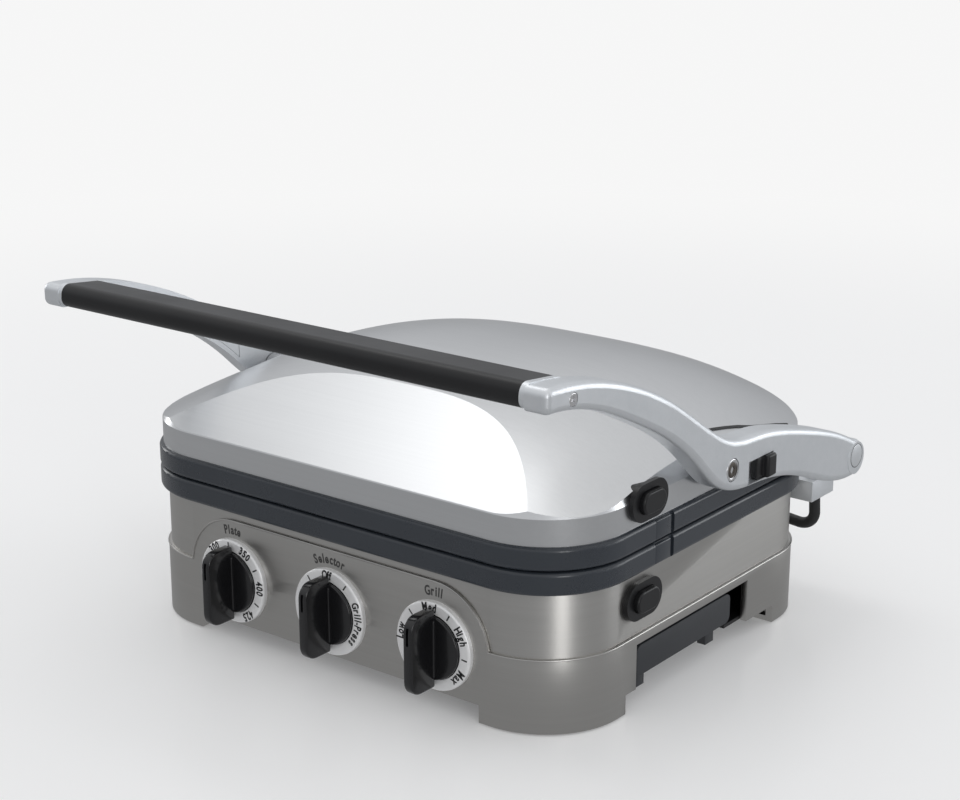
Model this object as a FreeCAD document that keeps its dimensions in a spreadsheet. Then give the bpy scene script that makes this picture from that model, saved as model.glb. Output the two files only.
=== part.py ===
import FreeCAD, Part
import math
import os

import Sketcher
from FreeCAD import Placement, Rotation, Vector

# Contact grill: base with controls, a pair of arms hinged at the rear corners, and a lid hung between them.
# Millimetres. Inside each sub-part y = 0 is the front of the skirt, x = 0 the middle, z = 0 the table top;
# front_y then moves every sub-part so that the whole grill is centred on the origin.
sizes = {
    # base housing
    "skirt_width": 298.4, "skirt_depth": 252.0, "skirt_corner": 46.0, "skirt_top": 40.5,
    "wall_inset": 1.6, "wall": 2.4, "housing_low": 1.0, "foot_floor": 3.0, "housing_top": 80.0,
    "panel_half": 102.8, "panel_top": 69.5, "panel_corner": 32.8,
    "foot_gap_half": 97.0, "foot_gap_top": 10.4, "side_gap_top": 11.2,
    "front_foot_end": 52.7, "rear_foot_start": 199.2,
    "tray_door_front": 61.7, "tray_door_rear": 170.5, "tray_door_top": 35.4,
    "vent_width": 3.0, "vent_height": 16.0, "vent_step": 9.0, "vent_low": 50.0, "vents": 7,
    # pads, cover and its screws
    "pad_radius": 8.0, "pad_peg": 3.0, "pad_x": 120.0, "pad_inset_y": 30.0,
    "cover_low": 11.4, "cover_sheet": 2.0, "cover_gap": 0.3,
    "boss_x": 141.0, "boss_front": 46.0, "boss_rear": 206.0, "boss_radius": 5.0, "boss_height": 16.0,
    "screw_radius": 1.6, "screw_head": 3.2, "screw_head_height": 1.4, "screw_length": 12.0,
    # trims and seam
    "trim_proud": 2.6, "trim_low": 74.4, "seam": 86.9, "seam_gap": 0.5, "trim_high": 99.3,
    "trim_round": 2.4, "trim_ledge": 8.6, "ledge_sheet": 1.5, "notch_front": 72.7, "notch_rear": 89.4,
    "notch_depth": 1.6,
    # cooking plates
    "plate_width": 279.4, "plate_depth": 228.6, "plate_corner": 37.0, "plate_deck": 3.0,
    "rib_gap": 0.7, "rib_height": 4.4, "rib_width": 3.4, "rib_step": 9.6, "rim": 4.0, "rib_margin": 11.0,
    "plate_step": 3.6, "step_inset": 4.2,
    "spout_x": 124.0, "spout_y": 112.0, "spout_bore": 4.5, "spout_wall": 1.5, "spout_depth": 22.0,
    # heaters
    "heater_radius": 3.5, "heater_half_x": 92.0, "heater_front": 46.0, "heater_rear": 200.0,
    "heater_bend": 24.0, "heater_depth": 12.6, "heater_tail_x": 20.0,
    "pan_half_x": 114.0, "pan_front": 26.0, "pan_rear": 226.0, "pan_corner": 20.0, "pan_sheet": 1.0,
    "pan_rim_depth": 8.8, "pan_floor_depth": 23.0, "pan_leg": 6.0, "pan_leg_x": 104.0,
    "pan_leg_front": 44.0, "pan_leg_rear": 208.0,
    # controls
    "dial_step": 70.0, "dial_height": 35.7, "ring_outer": 23.7, "ring_inner": 17.6, "ring_depth": 3.0,
    "ring_round": 1.4, "knob_radius": 17.2, "knob_back": 1.0, "knob_face": 5.0, "knob_tip": 22.5,
    "fin_length": 43.0, "fin_width": 5.8, "fin_round": 2.4, "stem_radius": 2.0, "stem_gap": 0.05,
    "control_width": 27.0, "control_height": 30.0, "control_depth": 20.0, "control_gap": 0.6,
    # plate release buttons
    "release_y": 66.5, "release_low_z": 58.9, "release_high_z": 111.4,
    "flange_half_y": 15.8, "flange_half_z": 9.8, "flange_sheet": 2.6, "barrel_wall": 1.6,
    "button_half_y": 10.0, "button_half_z": 5.8, "button_gap": 0.35, "button_proud": 5.6,
    "button_travel": 3.0, "barrel_depth": 17.0, "button_stem": 2.6, "spring_wire": 0.5,
    "latch_sheet": 3.0, "latch_clear": 4.0, "latch_nose": 5.6, "latch_width": 9.0, "nose_height": 2.4,
    "lug_x": 126.4, "lug_sheet": 2.6, "lug_width": 17.0, "lug_reach": 21.0, "lug_slot": 4.2,
    "slot_depth": 14.6,
    # hinge, arms and grip
    "axis_y": 257.0, "axis_z": 86.0, "pin_radius": 3.0, "pin_gap": 0.05, "hub_radius": 6.5,
    "bracket_in": 138.6, "bracket_out": 150.0, "bracket_low": 61.0, "bracket_front": 238.0,
    "bracket_shelf": 73.0, "bracket_wide_in": 126.0, "side_gap": 0.5,
    "arm_in": 153.2, "arm_out": 166.2, "arm_round": 3.4, "arm_end": 10.6, "nose_bend": 4.0,
    "pivot_y": 120.4, "pivot_z": 115.3, "pivot_radius": 3.0, "pivot_head": 6.2, "pivot_head_depth": 2.2,
    "pivot_boss": 8.0, "pivot_depth": 12.0,
    "grip_y": -25.5, "grip_z": 188.0, "grip_half_y": 15.0, "grip_half_z": 6.2, "grip_round": 5.4,
    "grip_tilt": 6.0, "grip_half_x": 150.6, "core_radius": 3.6, "core_depth": 9.0,
    "arm_cover_sheet": 1.2, "arm_cover_inset": 3.4, "arm_cover_gap": 0.3, "arm_cover_end": 92.0,
    "arm_screw_y": -20.7, "arm_screw_z": 186.0,
    "lever_front": 136.6, "lever_rear": 161.6, "lever_low": 102.4, "lever_high": 115.2, "lever_depth": 5.0,
    "lever_length": 15.0, "lever_proud": 2.8, "lever_gap": 0.3, "lever_tab": 9.0,
    # lid
    "lid_proud": 0.4, "lid_sheet": 1.4, "shoulder_start": 113.0, "shoulder_inset": 5.0, "shoulder_rise": 10.0,
    "facet_low": 113.5, "facet_slope": 0.5, "arch_top": 122.2, "arch_y": 125.0, "arch_front_drop": 14.5,
    "arch_rear_drop": 19.6, "crown": 30.0, "crown_y": 160.0, "crown_reach": 229.0,
    "crown_power_x": 3.0, "crown_power_y": 2.4, "lid_frame_sheet": 1.6, "lid_frame_width": 9.0,
    # drip tray and rails
    "tray_in": -60.0, "tray_out": 148.6, "tray_front": 66.4, "tray_rear": 150.0, "tray_low": 17.0,
    "tray_high": 33.6, "tray_wall": 1.8, "tray_face_front": 62.8, "tray_face_rear": 153.4,
    "tray_face_sheet": 3.0, "tray_face_corner": 4.0, "tray_lip": 3.0, "tray_lip_sheet": 1.4,
    "tray_foot": 8.0, "tray_foot_low": 9.0, "rail_sheet": 1.4, "rail_lip": 4.2, "rail_gap": 0.4,
    # leads
    "lead_radius": 3.2, "lead_exit_x": 110.0, "lead_exit_z": 46.0, "lead_out_y": 261.5,
    "lead_in_x": 143.6, "lead_in_y": 252.5, "gland_radius": 5.4, "gland_depth": 5.0,
    "mains_x": -70.0, "mains_z": 28.0, "mains_radius": 7.5, "mains_bore": 3.6, "mains_proud": 10.0,
    # origin
    "front_y": -113.55,
}

doc = FreeCAD.newDocument("contact_grill")
sheet = doc.addObject("Spreadsheet::Sheet", "Sizes")
for row, (alias, number) in enumerate(sizes.items(), start=1):
    sheet.set(f"A{row}", alias)
    sheet.set(f"B{row}", str(number))
    sheet.setAlias(f"B{row}", alias)
doc.recompute()

nodes = []


def size(alias):
    return float(sheet.get(alias))


def bind(thing, prop, source):
    """A number is set as it is; text is a formula on the sheet, with each alias written as it stands."""
    if isinstance(source, str):
        thing.setExpression(prop, formula(source))
        return
    if prop.endswith((".x", ".y", ".z")):
        thing.setExpression(prop, str(source))
        return
    setattr(thing, prop, source)


def formula(text):
    words = []
    word = ""
    for sign in text + " ":
        if sign.isalnum() or sign == "_":
            word += sign
            continue
        words.append(f"Sizes.{word}" if word in sizes else word)
        words.append(sign)
        word = ""
    return "".join(words).strip()


def worth(source):
    """The number that a formula on the sheet gives now."""
    return float(sheet.evalExpression(formula(source))) if isinstance(source, str) else float(source)


def place_y(thing):
    bind(thing, "Placement.Base.y", "front_y")


def new_body(label):
    body = doc.addObject("PartDesign::Body", label)
    body.Label = label
    place_y(body)
    nodes.append(body)
    return body


def plane(body, role):
    for feature in body.Origin.OriginFeatures:
        if feature.Role == role:
            return feature
    raise ValueError(role)


def new_sketch(body, name, role, u, v, lift):
    sketch = body.newObject("Sketcher::SketchObject", name)
    sketch.AttachmentSupport = [(plane(body, role), "")]
    sketch.MapMode = "FlatFace"
    bind(sketch, "AttachmentOffset.Base.x", u)
    bind(sketch, "AttachmentOffset.Base.y", v)
    bind(sketch, "AttachmentOffset.Base.z", lift)
    return sketch


def add_outline(sketch, half_u, half_v, corner):
    """A rounded rectangle about the sketch's own origin."""
    a, b, r = worth(half_u), worth(half_v), worth(corner)
    first = sketch.GeometryCount
    ends = [((-a + r, -b), (a - r, -b)), ((a, -b + r), (a, b - r)),
            ((a - r, b), (-a + r, b)), ((-a, b - r), (-a, -b + r))]
    for start, end in ends:
        sketch.addGeometry(Part.LineSegment(Vector(*start, 0), Vector(*end, 0)), False)
    middles = [(a - r, -b + r), (a - r, b - r), (-a + r, b - r), (-a + r, -b + r)]
    for turn, (mx, my) in enumerate(middles):
        circle = Part.Circle(Vector(mx, my, 0), Vector(0, 0, 1), r)
        start = math.radians(-90 + 90 * turn)
        sketch.addGeometry(Part.ArcOfCircle(circle, start, start + math.pi / 2), False)
    for turn in range(4):
        line, arc, following = first + turn, first + 4 + turn, first + (turn + 1) % 4
        sketch.addConstraint(Sketcher.Constraint("Tangent", line, 2, arc, 1))
        sketch.addConstraint(Sketcher.Constraint("Tangent", arc, 2, following, 1))
    sketch.addConstraint(Sketcher.Constraint("Horizontal", first))
    sketch.addConstraint(Sketcher.Constraint("Vertical", first + 1))
    for turn in range(1, 4):
        sketch.addConstraint(Sketcher.Constraint("Equal", first + 4, first + 4 + turn))
    sketch.addConstraint(Sketcher.Constraint("Symmetric", first + 4, 3, first + 6, 3, -1, 1))
    named = [("corner", Sketcher.Constraint("Radius", first + 4, r), corner),
             ("half_u", Sketcher.Constraint("DistanceX", -1, 1, first + 1, 1, a), half_u),
             ("half_v", Sketcher.Constraint("DistanceY", -1, 1, first + 2, 1, b), half_v)]
    for word, constraint, source in named:
        index = sketch.addConstraint(constraint)
        sketch.renameConstraint(index, f"{word}_{first}")
        bind(sketch, f"Constraints.{word}_{first}", source if isinstance(source, str) else str(source))


def pad(body, name, sketch, length):
    feature = body.newObject("PartDesign::Pad", name)
    feature.Profile = sketch
    bind(feature, "Length", length)
    return feature


def pocket(body, name, sketch, length):
    """Cuts along the sketch's own normal."""
    feature = body.newObject("PartDesign::Pocket", name)
    feature.Profile = sketch
    feature.Reversed = True
    bind(feature, "Length", length)
    return feature


def slab(body, name, low, height, half_x, half_y, corner):
    """Rounded slab about the middle of the grill's plan."""
    sketch = new_sketch(body, name + "_outline", "XY_Plane", 0, "skirt_depth / 2", low)
    add_outline(sketch, half_x, half_y, corner)
    return pad(body, name, sketch, height)


def well(body, name, low, height, half_x, half_y, corner):
    sketch = new_sketch(body, name + "_outline", "XY_Plane", 0, "skirt_depth / 2", low)
    add_outline(sketch, half_x, half_y, corner)
    return pocket(body, name, sketch, height)


def oval_x(body, name, kind, start, length, y, z, half_y, half_z, corner, tilt=0):
    """Rounded outline on the side of the grill, drawn along +X from start."""
    sketch = new_sketch(body, name + "_outline", "YZ_Plane", y, z, start)
    if tilt:
        sketch.AttachmentOffset = Placement(sketch.AttachmentOffset.Base, Rotation(Vector(0, 0, 1), tilt))
    add_outline(sketch, half_y, half_z, corner)
    make = pad if kind == "Additive" else pocket
    return make(body, name, sketch, length)


def block(body, name, kind, corner, extent):
    feature = body.newObject(f"PartDesign::{kind}Box", name)
    for axis, source in zip("xyz", corner):
        bind(feature, f"Placement.Base.{axis}", source)
    for prop, source in zip(("Length", "Width", "Height"), extent):
        bind(feature, prop, source)
    return feature


turns = {"z": Rotation(), "-y": Rotation(Vector(1, 0, 0), 90), "y": Rotation(Vector(1, 0, 0), -90),
         "x": Rotation(Vector(0, 1, 0), 90), "-x": Rotation(Vector(0, 1, 0), -90),
         "-z": Rotation(Vector(1, 0, 0), 180)}


def rod(body, name, kind, start, way, radius, length):
    feature = body.newObject(f"PartDesign::{kind}Cylinder", name)
    feature.Placement = Placement(Vector(), turns[way])
    for axis, source in zip("xyz", start):
        bind(feature, f"Placement.Base.{axis}", source)
    bind(feature, "Radius", radius)
    bind(feature, "Height", length)
    return feature


def round_edges(body, name, radius, wanted):
    """Fillet on the edges of the body's last feature for which wanted(edge) is true."""
    doc.recompute()
    base = body.Tip
    names = [f"Edge{n}" for n, edge in enumerate(base.Shape.Edges, start=1) if wanted(edge)]
    feature = body.newObject("PartDesign::Fillet", name)
    feature.Base = (base, names)
    bind(feature, "Radius", radius)
    return feature


def flat_at(edge, axis, level, slack=0.01):
    low = getattr(edge.BoundBox, axis + "Min")
    high = getattr(edge.BoundBox, axis + "Max")
    return abs(low - level) < slack and abs(high - level) < slack


def free_part(label, shape):
    feature = doc.addObject("Part::Feature", label)
    feature.Label = label
    feature.Shape = shape
    feature.Placement = Placement(Vector(0, size("front_y"), 0), Rotation()).multiply(shape.Placement)
    nodes.append(feature)
    return feature


def steel_rod(start, way, radius, length):
    return Part.makeCylinder(radius, length, start, way)


def plan_prism(proud, low, high):
    """Solid of the grill's rounded plan, grown by proud."""
    half_x, half_y = size("skirt_width") / 2 + proud, size("skirt_depth") / 2 + proud
    box = Part.makeBox(2 * half_x, 2 * half_y, high - low, Vector(-half_x, -proud, low))
    upright = [edge for edge in box.Edges if edge.BoundBox.ZLength > 1]
    return box.makeFillet(size("skirt_corner") + proud, upright)


# ---- base housing -------------------------------------------------------------------------------------
wall_half = "skirt_width / 2 - wall_inset"
wall_half_y = "skirt_depth / 2 - wall_inset"
wall_corner = "skirt_corner - wall_inset"
hollow_half = "skirt_width / 2 - wall_inset - wall"
hollow_half_y = "skirt_depth / 2 - wall_inset - wall"
hollow_corner = "skirt_corner - wall_inset - wall"


def make_base_housing():
    body = new_body("base_housing")
    slab(body, "skirt", "housing_low", "skirt_top - housing_low",
         "skirt_width / 2", "skirt_depth / 2", "skirt_corner")
    slab(body, "upper_wall", "skirt_top", "housing_top - skirt_top", wall_half, wall_half_y, wall_corner)
    panel = new_sketch(body, "panel_outline", "XZ_Plane", 0, "panel_top / 2", 0)
    add_outline(panel, "panel_half", "panel_top / 2", "panel_corner")
    raised = pad(body, "panel", panel, "wall_inset + wall")
    raised.Reversed = True
    well(body, "hollow", "housing_low + foot_floor", "housing_top", hollow_half, hollow_half_y, hollow_corner)
    block(body, "front_gap", "Subtractive", ("-foot_gap_half", -1, -1),
          ("2 * foot_gap_half", "skirt_depth + 2", "foot_gap_top + 1"))
    block(body, "side_gap", "Subtractive", ("-skirt_width / 2 - 1", "front_foot_end", -1),
          ("skirt_width + 2", "rear_foot_start - front_foot_end", "side_gap_top + 1"))
    block(body, "tray_door", "Subtractive", ("skirt_width / 2 - 12", "tray_door_front", -1),
          (20, "tray_door_rear - tray_door_front", "tray_door_top + 1"))
    for side, mark in ((-1, "left"), (1, "right")):
        for y in ("boss_front", "boss_rear"):
            rod(body, f"{mark}_{y}", "Additive", (f"{side} * boss_x", y, "cover_low + cover_sheet"), "z",
                "boss_radius", "boss_height")
            rod(body, f"{mark}_{y}_hole", "Subtractive", (f"{side} * boss_x", y, 0), "z",
                "screw_radius", "cover_low + screw_length")
            pad_y = "pad_inset_y" if y == "boss_front" else "skirt_depth - pad_inset_y"
            rod(body, f"{mark}_{y}_peg_hole", "Subtractive", (f"{side} * pad_x", pad_y, 0), "z", "pad_peg", 6)
    for place in (-1, 0, 1):
        rod(body, f"stem_hole_{place + 1}", "Subtractive", (f"{place} * dial_step", 6, "dial_height"), "-y",
            "stem_radius + 1", 8)
    oval_x(body, "release_hole", "Subtractive", "skirt_width / 2 - 8", 10, "release_y", "release_low_z",
           "button_half_y + button_gap + barrel_wall", "button_half_z + button_gap + barrel_wall",
           "button_half_z + button_gap + barrel_wall - 0.1")
    rod(body, "lead_hole", "Subtractive", ("lead_exit_x", "skirt_depth - 12", "lead_exit_z"), "y",
        "gland_radius - 1", 14)
    rod(body, "mains_hole", "Subtractive", ("mains_x", "skirt_depth - 8", "mains_z"), "y",
        "mains_radius - 2", 10)
    vent = new_sketch(body, "vent_outline", "XZ_Plane", "vent_step * (vents - 1) / -2",
                      "vent_low + vent_height / 2", "-skirt_depth + 8")
    add_outline(vent, "vent_width / 2", "vent_height / 2", "vent_width / 2 - 0.1")
    slot = body.newObject("PartDesign::Pocket", "vent")
    slot.Profile = vent
    slot.Length = 10
    doc.recompute()
    row = body.newObject("PartDesign::LinearPattern", "vent_row")
    row.Originals = [slot]
    row.Direction = (vent, ["H_Axis"])
    bind(row, "Length", "vent_step * (vents - 1)")
    row.Occurrences = int(size("vents"))
    body.Tip = row
    return body


def make_bottom_cover():
    body = new_body("bottom_cover")
    slab(body, "sheet", "cover_low", "cover_sheet", hollow_half + " - cover_gap", hollow_half_y + " - cover_gap",
         hollow_corner + " - cover_gap")
    block(body, "tray_bay", "Subtractive", ("tray_in - 6", "tray_door_front", 0),
          ("skirt_width / 2 - tray_in + 6",
           "tray_rear + tray_lip + rail_gap + rail_sheet / 2 - tray_door_front", 40))
    for side, mark in ((-1, "left"), (1, "right")):
        for y in ("boss_front", "boss_rear"):
            rod(body, f"{mark}_{y}_hole", "Subtractive", (f"{side} * boss_x", y, 0), "z", "screw_radius", 40)
    return body


def make_foot_pads():
    solids = []
    rows = (size("pad_inset_y"), size("skirt_depth") - size("pad_inset_y"))
    for x in (-size("pad_x"), size("pad_x")):
        for y in rows:
            disc = steel_rod(Vector(x, y, 0), Vector(0, 0, 1), size("pad_radius"), size("housing_low"))
            peg = steel_rod(Vector(x, y, 0), Vector(0, 0, 1), size("pad_peg"),
                            size("housing_low") + size("foot_floor") + 0.8)
            solids.append(disc.fuse(peg).removeSplitter())
    return free_part("foot_pads", Part.makeCompound(solids))


def screw(start, way, shank, length, head, head_height):
    """A round-headed screw: the head is outside start, the shank runs along way."""
    back = Vector(way).multiply(-head_height)
    top = steel_rod(start + back, way, head, head_height)
    recess = steel_rod(start + back, way, head * 0.35, head_height * 0.5)
    return top.cut(recess).fuse(steel_rod(start, way, shank, length)).removeSplitter()


def make_cover_screws():
    solids = []
    for x in (-size("boss_x"), size("boss_x")):
        for y in (size("boss_front"), size("boss_rear")):
            solids.append(screw(Vector(x, y, size("cover_low")), Vector(0, 0, 1), size("screw_radius"),
                                size("screw_length") - 1, size("screw_head"), size("screw_head_height")))
    return free_part("cover_screws", Part.makeCompound(solids))


# ---- trims --------------------------------------------------------------------------------------------
trim_half = "skirt_width / 2 + trim_proud"
trim_half_y = "skirt_depth / 2 + trim_proud"
trim_corner = "skirt_corner + trim_proud"


def round_trim(body, low, high):
    round_edges(body, "bulge", "trim_round", lambda edge: flat_at(edge, "Z", low) or flat_at(edge, "Z", high))


def make_lower_trim():
    body = new_body("lower_trim")
    slab(body, "band", "trim_low", "seam - seam_gap / 2 - trim_low", trim_half, trim_half_y, trim_corner)
    round_trim(body, size("trim_low"), size("seam") - size("seam_gap") / 2)
    well(body, "over_wall", "trim_low - 1", "housing_top - trim_low + 1", wall_half, wall_half_y, wall_corner)
    well(body, "mouth", "trim_low", 30, trim_half + " - trim_ledge", trim_half_y + " - trim_ledge",
         trim_corner + " - trim_ledge")
    block(body, "notch", "Subtractive", ("skirt_width / 2 + trim_proud - notch_depth", "notch_front", 0),
          (10, "notch_rear - notch_front", 200))
    return body


def make_upper_trim():
    body = new_body("upper_trim")
    slab(body, "band", "seam + seam_gap / 2", "trim_high - seam - seam_gap / 2", trim_half, trim_half_y,
         trim_corner)
    round_trim(body, size("seam") + size("seam_gap") / 2, size("trim_high"))
    well(body, "mouth", "trim_low", 30, trim_half + " - trim_ledge", trim_half_y + " - trim_ledge",
         trim_corner + " - trim_ledge")
    block(body, "notch", "Subtractive", ("skirt_width / 2 + trim_proud - notch_depth", "notch_front", 0),
          (10, "notch_rear - notch_front", 200))
    return body


# ---- cooking plates and heaters: drawn as a height above the seam, then turned over for the base -------
def turn_over(thing):
    """Half a turn about the long axis through the seam: a height above it becomes a depth below it."""
    thing.Placement = Placement(Vector(), turns["-z"])
    bind(thing, "Placement.Base.y", "front_y + skirt_depth")
    bind(thing, "Placement.Base.z", "seam")


def lift_up(thing):
    place_y(thing)
    bind(thing, "Placement.Base.z", "seam")


def make_cooking_plate(label, lower):
    """Cast plate: ribbed face towards the seam, stepped rim, spout and latch lug on its back."""
    body = new_body(label)
    half_x, half_y = "plate_width / 2", "plate_depth / 2"
    deck = "(rib_gap + rib_height)"
    slab(body, "deck", deck, "plate_deck", half_x, half_y, "plate_corner")
    slab(body, "step", deck + " + plate_deck", "plate_step", half_x + " - step_inset",
         half_y + " - step_inset", "plate_corner - step_inset")
    well(body, "step_hollow", deck + " + plate_deck", "plate_step", half_x + " - step_inset - 3",
         half_y + " - step_inset - 3", "plate_corner - step_inset - 3")
    slab(body, "rim_wall", "rib_gap + 0.3", "rib_height - 0.3", half_x, half_y, "plate_corner")
    well(body, "rim_hollow", "rib_gap", "rib_height", half_x + " - rim", half_y + " - rim",
         "plate_corner - rim")
    # the row of ribs is centred, and as long as the flat floor inside the rim leaves room for
    span = worth("plate_width / 2 - rim - rib_margin")
    count = 2 * int(span // size("rib_step")) + 1
    doc.recompute()
    rib = new_sketch(body, "rib_outline", "XY_Plane", f"{-(count - 1) // 2} * rib_step", "skirt_depth / 2",
                     "rib_gap")
    add_outline(rib, "rib_width / 2", "plate_depth / 2 - rim - rib_margin - plate_corner / 3",
                "rib_width / 2 - 0.1")
    first = pad(body, "rib", rib, "rib_height + 0.5")
    doc.recompute()
    row = body.newObject("PartDesign::LinearPattern", "rib_row")
    row.Originals = [first]
    row.Direction = (rib, ["H_Axis"])
    bind(row, "Length", f"{count - 1} * rib_step")
    row.Occurrences = count
    body.Tip = row
    side_y = (lambda text: f"skirt_depth - ({text})") if lower else (lambda text: text)
    rod(body, "spout", "Additive", ("spout_x", side_y("spout_y"), deck), "z", "spout_bore + spout_wall",
        f"spout_depth - {deck}")
    rod(body, "spout_bore", "Subtractive", ("spout_x", side_y("spout_y"), 0), "z", "spout_bore", 60)
    lug_y = side_y("release_y") + " - lug_width / 2"
    block(body, "lug", "Additive", ("lug_x", lug_y, deck + " + 1"),
          ("lug_sheet", "lug_width", f"lug_reach - {deck} - 1"))
    block(body, "lug_slot", "Subtractive", ("lug_x - 1", lug_y + " + 3", "slot_depth"),
          ("lug_sheet + 2", "lug_width - 6", "lug_slot"))
    (turn_over if lower else lift_up)(body)
    return body


def make_heater(label, lower):
    """Tubular element: a loop with rounded corners and two tails at the rear."""
    r, depth = size("heater_radius"), size("heater_depth")
    x, tail, bend = size("heater_half_x"), size("heater_tail_x"), size("heater_bend")
    front, rear = size("heater_front"), size("heater_rear")
    end = rear + 18
    small = bend / 2
    path = [("line", (-tail, end), (-tail, rear + small - 8)),
            ("turn", (-tail, rear + small - 8), (-tail - small, rear - 8), (-1, 0)),
            ("line", (-tail - small, rear - 8), (-x + bend, rear - 8)),
            ("turn", (-x + bend, rear - 8), (-x, rear - 8 - bend), (0, -1)),
            ("line", (-x, rear - 8 - bend), (-x, front + bend)),
            ("turn", (-x, front + bend), (-x + bend, front), (1, 0)),
            ("line", (-x + bend, front), (x - bend, front)),
            ("turn", (x - bend, front), (x, front + bend), (0, 1)),
            ("line", (x, front + bend), (x, rear - 8 - bend)),
            ("turn", (x, rear - 8 - bend), (x - bend, rear - 8), (-1, 0)),
            ("line", (x - bend, rear - 8), (tail + small, rear - 8)),
            ("turn", (tail + small, rear - 8), (tail, rear + small - 8), (0, 1)),
            ("line", (tail, rear + small - 8), (tail, end))]
    edges = []
    for kind, start, stop, *way in path:
        a, b = Vector(*start, depth), Vector(*stop, depth)
        if kind == "line":
            edges.append(Part.LineSegment(a, b).toShape())
            continue
        leave = Vector(*way[0], 0)
        centre = b - leave.cross(Vector(0, 0, 1)) * (b - a).dot(leave)
        other = b + leave.cross(Vector(0, 0, 1)) * (b - a).dot(leave)
        radius = abs((b - a).dot(leave))
        if abs((centre - a).Length - radius) > 0.01:
            centre = other
        toward = ((a + b) * 0.5 - centre)
        toward.normalize()
        edges.append(Part.Arc(a, centre + toward * radius, b).toShape())
    wire = Part.Wire(edges)
    ring = Part.Wire([Part.Circle(Vector(-tail, end, depth), Vector(0, -1, 0), r).toShape()])
    solid = wire.makePipeShell([ring], True, True)
    feature = free_part(label, solid)
    (turn_over if lower else lift_up)(feature)
    return feature


def make_pan(label, lower):
    """Reflector pan behind an element; the base one stands on four legs."""
    body = new_body(label)
    half_y = "(pan_rear - pan_front) / 2"
    slab(body, "pan", "pan_rim_depth", "pan_floor_depth - pan_rim_depth", "pan_half_x", half_y, "pan_corner")
    well(body, "pan_hollow", "pan_rim_depth", "pan_floor_depth - pan_rim_depth - pan_sheet",
         "pan_half_x - pan_sheet", half_y + " - pan_sheet", "pan_corner - pan_sheet")
    for mark, x in (("left", "-heater_tail_x"), ("right", "heater_tail_x")):
        rod(body, f"{mark}_tail_hole", "Subtractive", (x, "pan_rear - 6", "heater_depth"), "y",
            "heater_radius + 0.5", 12)
    if lower:
        for side, mark in ((-1, "left"), (1, "right")):
            for y in ("pan_leg_front", "pan_leg_rear"):
                block(body, f"{mark}_{y}", "Additive",
                      (f"{side} * pan_leg_x - pan_leg / 2", y, "pan_floor_depth - pan_sheet"),
                      ("pan_leg", "pan_leg", "seam - cover_low - cover_sheet - pan_floor_depth + pan_sheet"))
    (turn_over if lower else lift_up)(body)
    return body


# ---- controls -----------------------------------------------------------------------------------------
dials = {"left": -1, "middle": 0, "right": 1}


def make_dial(name, place):
    x = f"{place} * dial_step"
    ring = new_body(f"{name}_dial_ring")
    rod(ring, "disc", "Additive", (x, 0, "dial_height"), "-y", "ring_outer", "ring_depth")
    face = -size("ring_depth")
    round_edges(ring, "lip", "ring_round", lambda edge: flat_at(edge, "Y", face))
    rod(ring, "mouth", "Subtractive", (x, 1, "dial_height"), "-y", "ring_inner", 20)

    knob = new_body(f"{name}_knob")
    rod(knob, "disc", "Additive", (x, "-knob_back", "dial_height"), "-y", "knob_radius",
        "knob_face - knob_back")
    block(knob, "fin", "Additive", (x + " - fin_width / 2", "-knob_tip", "dial_height - fin_length / 2"),
          ("fin_width", "knob_tip - knob_face + 0.6", "fin_length"))
    tip = -size("knob_tip")
    round_edges(knob, "fin_round", "fin_round", lambda edge: flat_at(edge, "Y", tip))
    rod(knob, "bore", "Subtractive", (x, 0, "dial_height"), "-y", "stem_radius", "knob_face + 8")

    stem = new_body(f"{name}_control_stem")
    depth = "wall + wall_inset + control_gap + control_depth - 2"
    rod(stem, "stem", "Additive", (x, depth, "dial_height"), "-y", "stem_radius",
        depth + " + knob_face + 8")

    label = "selector_switch" if place == 0 else f"{name}_thermostat"
    control = new_body(label)
    start = "wall + wall_inset + control_gap"
    block(control, "case", "Additive",
          (x + " - control_width / 2", start, "dial_height - control_height / 2 + 2"),
          ("control_width", "control_depth", "control_height"))
    rod(control, "bore", "Subtractive", (x, "40", "dial_height"), "-y", "stem_radius + stem_gap", 40)


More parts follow.
